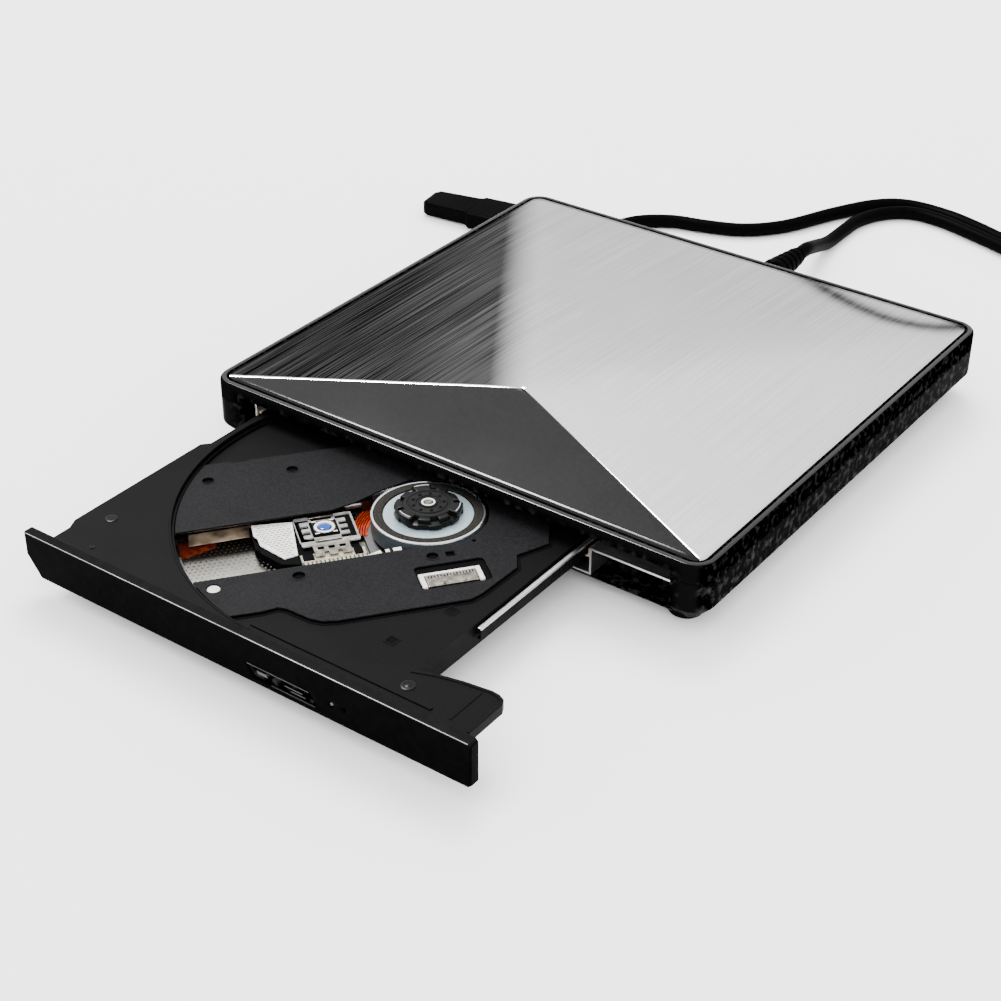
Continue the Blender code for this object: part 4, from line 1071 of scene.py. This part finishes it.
def make_lens():
    """The lens, and the holder, rim and marks round it, with painted shade at the bottom of its well."""
    holder = rounded(22.1, -5.2, 27.7, 0.4, 0.7, 3)
    piece("lens_holder", plate([holder, circle(*LENS_PLACE, 2.6)], 11.9, 12.3, 0.12, 2), SLED_PLAN, "pickup",
          "black_plastic")
    lens_plan = placed(SLED_PLAN, *LENS_PLACE)
    rim = [(1.75, 11.9), (2.55, 11.9), (2.5, 12.34), (2.3, 12.42), (1.95, 12.38), (1.78, 12.2), (1.75, 11.9)]
    piece("lens_rim", turned(rim, 48), lens_plan, "pickup", "white_plastic")
    corners = [block((a, b, 12.2), (a + 1.1, b + 0.35, 12.36), 0.05)
               for a in (22.2, 26.5) for b in (-5.1, -0.1)]
    piece("holder_marks", joined(*corners), SLED_PLAN, "pickup", "white_plastic")
    # Painted shade: a deep black disc at the bottom of the lens's well.
    well_shade = turned([(0, 11.2), (2.35, 11.2), (2.35, 11.3), (0, 11.3)], 32)
    piece("lens_well_shade", well_shade, lens_plan, "pickup", "black_plastic", "deep_black")
    dome = [(0, 12.08), (1.45, 12.08), (1.5, 12.2)]
    dome += [(1.45 * cos(radians(t)), 12.2 + 0.3 * sin(radians(t)))
             for t in range(10, 91, 10)]
    piece("lens_dome", turned(dome, 40), lens_plan, "lens", "lens_glass", cad="objective_lens", crease=60)


def make_pickup_board():
    """The spring bracket, and the small board with its chips and solder pads."""
    bracket = [
        (20.4, 4.3), (29.2, 4.3), (29.2, 9.0), (26.9, 9.0), (26.9, 7.4), (25.9, 7.4), (25.9, 9.0), (23.7, 9.0),
        (23.7, 7.4), (22.7, 7.4), (22.7, 9.0), (20.4, 9.0),
    ]
    eyes = [rounded(a, 5.2, a + 1.5, 6.3, 0.2, 2) for a in (21.5, 24.1, 26.7)]
    piece("spring_bracket", plate([bracket, *eyes], 11.75, 11.95, 0.04), SLED_PLAN, "pickup", "white_plastic",
          "aged_steel")
    piece("driver_board", block((17.1, 6.6, 11.05), (32.8, 11.3, 11.3), 0.05), SLED_PLAN, "pickup",
          "circuit_board", cad="pickup_board")
    mask_sheet = plate([rounded(17.3, 6.8, 32.6, 9.8, 0.3, 2)], 11.28, 11.36, 0.02)
    piece("board_sheet", mask_sheet, SLED_PLAN, "pickup", "circuit_board", "cream_plastic")
    chips = [block((18.0, 7.0, 11.3), (20.0, 9.6, 11.7), 0.08),
             block((29.6, 7.0, 11.3), (32.2, 9.4, 11.6), 0.08)]
    pads = [block((17.6 + step * 1.0, 9.9, 11.28), (18.2 + step * 1.0, 11.0, 11.42), 0.04)
            for step in range(15)]
    piece("board_chips", joined(*chips), SLED_PLAN, "pickup", "black_plastic", "deep_black")
    piece("board_pads", joined(*pads), SLED_PLAN, "pickup", "white_plastic", "cream_plastic")


def make_flexes():
    """Printed ribbons beside the rotor, each a thin curved strip with raised tracks."""
    def ribbon(path, half, lift):
        rows = []
        for (x, y, z), (nx, ny) in path:
            rows.append([(x - nx * half, y - ny * half, z), (x + nx * half, y + ny * half, z),
                         (x + nx * half, y + ny * half, z + lift), (x - nx * half, y - ny * half, z + lift)])
        return skinned(rows, caps=True)

    def path(offset):
        points = []
        for step in range(17):
            turn = radians(-52 + 44 * step / 16)
            radius = 16.6 + offset
            points.append(((radius * cos(turn), radius * sin(turn), 8.05),
                           (cos(turn), sin(turn))))
        return points

    thick = 0.12
    piece("motor_ribbon", ribbon(path(0), 1.9, thick), SLED_PLAN, "tray", "copper_flex",
          cad="spindle_flex", crease=50)
    tracks = []
    for offset in (-1.2, -0.6, 0, 0.6, 1.2):
        raised = [((x, y, z + thick), normal) for (x, y, z), normal in path(offset)]
        tracks.append(ribbon(raised, 0.1, 0.05))
    piece("ribbon_tracks", joined(*tracks), SLED_PLAN, "tray", "copper_flex", "deep_black")


def make_slide_rail():
    """The right rail: a bright rolled top edge over a web and lip painted darker as shade."""
    low, high = (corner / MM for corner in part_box("slide_rail_right"))
    edge = block((low.x, low.y, high.z - 0.6), (high.x, high.y, high.z), 0.2, 3)
    web = block((high.x - 0.5, low.y, low.z), (high.x - 0.05, high.y, high.z - 0.4), 0.05)
    lip = block((low.x, low.y, low.z), (high.x - 0.3, high.y, low.z + 0.4), 0.05)
    plan = Matrix.Identity(4)
    piece("rail_edge", edge, plan, "rail_right", "sheet_steel", cad="slide_rail_right")
    piece("rail_web", joined(web, lip), plan, "rail_right", "sheet_steel", "shaded_steel")


make_slide_rail()
make_socket_and_boot()
make_plug()
make_cable()
make_lid()
make_rim()
make_shell()
make_feet()
make_bezel()
make_tray_details()
make_cover()
make_ribbon_clamp()
make_belly()
make_spindle()
make_heat_shield()
make_actuator()
make_lens()
make_pickup_board()
make_flexes()

CARRIED = {
    "sheet_steel": (
        "drive_chassis", "drive_top_cover", "slide_rail_left", "eject_switch", "latch_lever",
        "guide_rod_main", "guide_rod_side", "sled_motor", "usb_socket",
    ),
    "tray_plastic": ("tray",),
    "black_plastic": ("drive_socket", "latch_solenoid"),
    "circuit_board": ("drive_main_board", "bridge_board", "tray_board"),
    "cream_plastic": ("guide_rail_left", "guide_rail_right"),
    "dark_steel": ("traverse_frame", "spindle_base"),
    "deep_black": ("pickup_body",),
    "brass": ("lead_screw",),
}
for paint, names in CARRIED.items():
    for name in names:
        frame["nodes"][name].material_slots[0].material = PAINTS[paint]


# ---- stage

STUDIO_LIGHT = 3.2
STUDIO_REFLECTION = 1.5


def make_stage():
    """A pale floor and a soft white studio whose reflections are dimmer than its light."""
    bm = bmesh.new()
    bmesh.ops.create_grid(bm, x_segments=1, y_segments=1, size=3.0)
    mesh = bpy.data.meshes.new("floor")
    bm.to_mesh(mesh)
    bm.free()
    floor = bpy.data.objects.new("floor", mesh)
    link(floor)
    paint = bpy.data.materials.new("floor_white")
    paint.use_nodes = True
    fill(paint.node_tree.nodes["Principled BSDF"],
         {"Base Color": (0.93, 0.93, 0.93, 1), "Roughness": 0.6, "Specular IOR Level": 0.2})
    mesh.materials.append(paint)

    world = bpy.data.worlds.new("studio")
    bpy.context.scene.world = world
    world.use_nodes = True
    tree = world.node_tree
    background = tree.nodes["Background"]
    fill(background, {"Color": (1, 1, 1, 1)})
    rays = tree.nodes.new("ShaderNodeLightPath")
    dim = tree.nodes.new("ShaderNodeMapRange")
    fill(dim, {"To Min": STUDIO_LIGHT, "To Max": STUDIO_REFLECTION})
    tree.links.new(rays.outputs["Is Glossy Ray"], dim.inputs["Value"])
    tree.links.new(dim.outputs["Result"], background.inputs["Strength"])


def area_light(name, place, target, size, power, mirrored=True, lighting=True):
    light = bpy.data.lights.new(name, "AREA")
    light.shape = "RECTANGLE"
    light.size, light.size_y = size
    light.energy = power
    holder = bpy.data.objects.new(name, light)
    holder.location = place
    holder.rotation_euler = (Vector(place) - Vector(target)).to_track_quat("Z", "Y").to_euler()
    holder.visible_glossy = mirrored
    holder.visible_diffuse = lighting
    link(holder)


make_stage()
area_light("back_key", (-0.6, 0.9, 1.3), (0, 0, 0), (0.8, 0.8), 36, mirrored=False)
area_light("edge_strip", (-0.59, 0.1, 1.02), (0, 0, 0), (0.5, 0.25), 40, lighting=False)
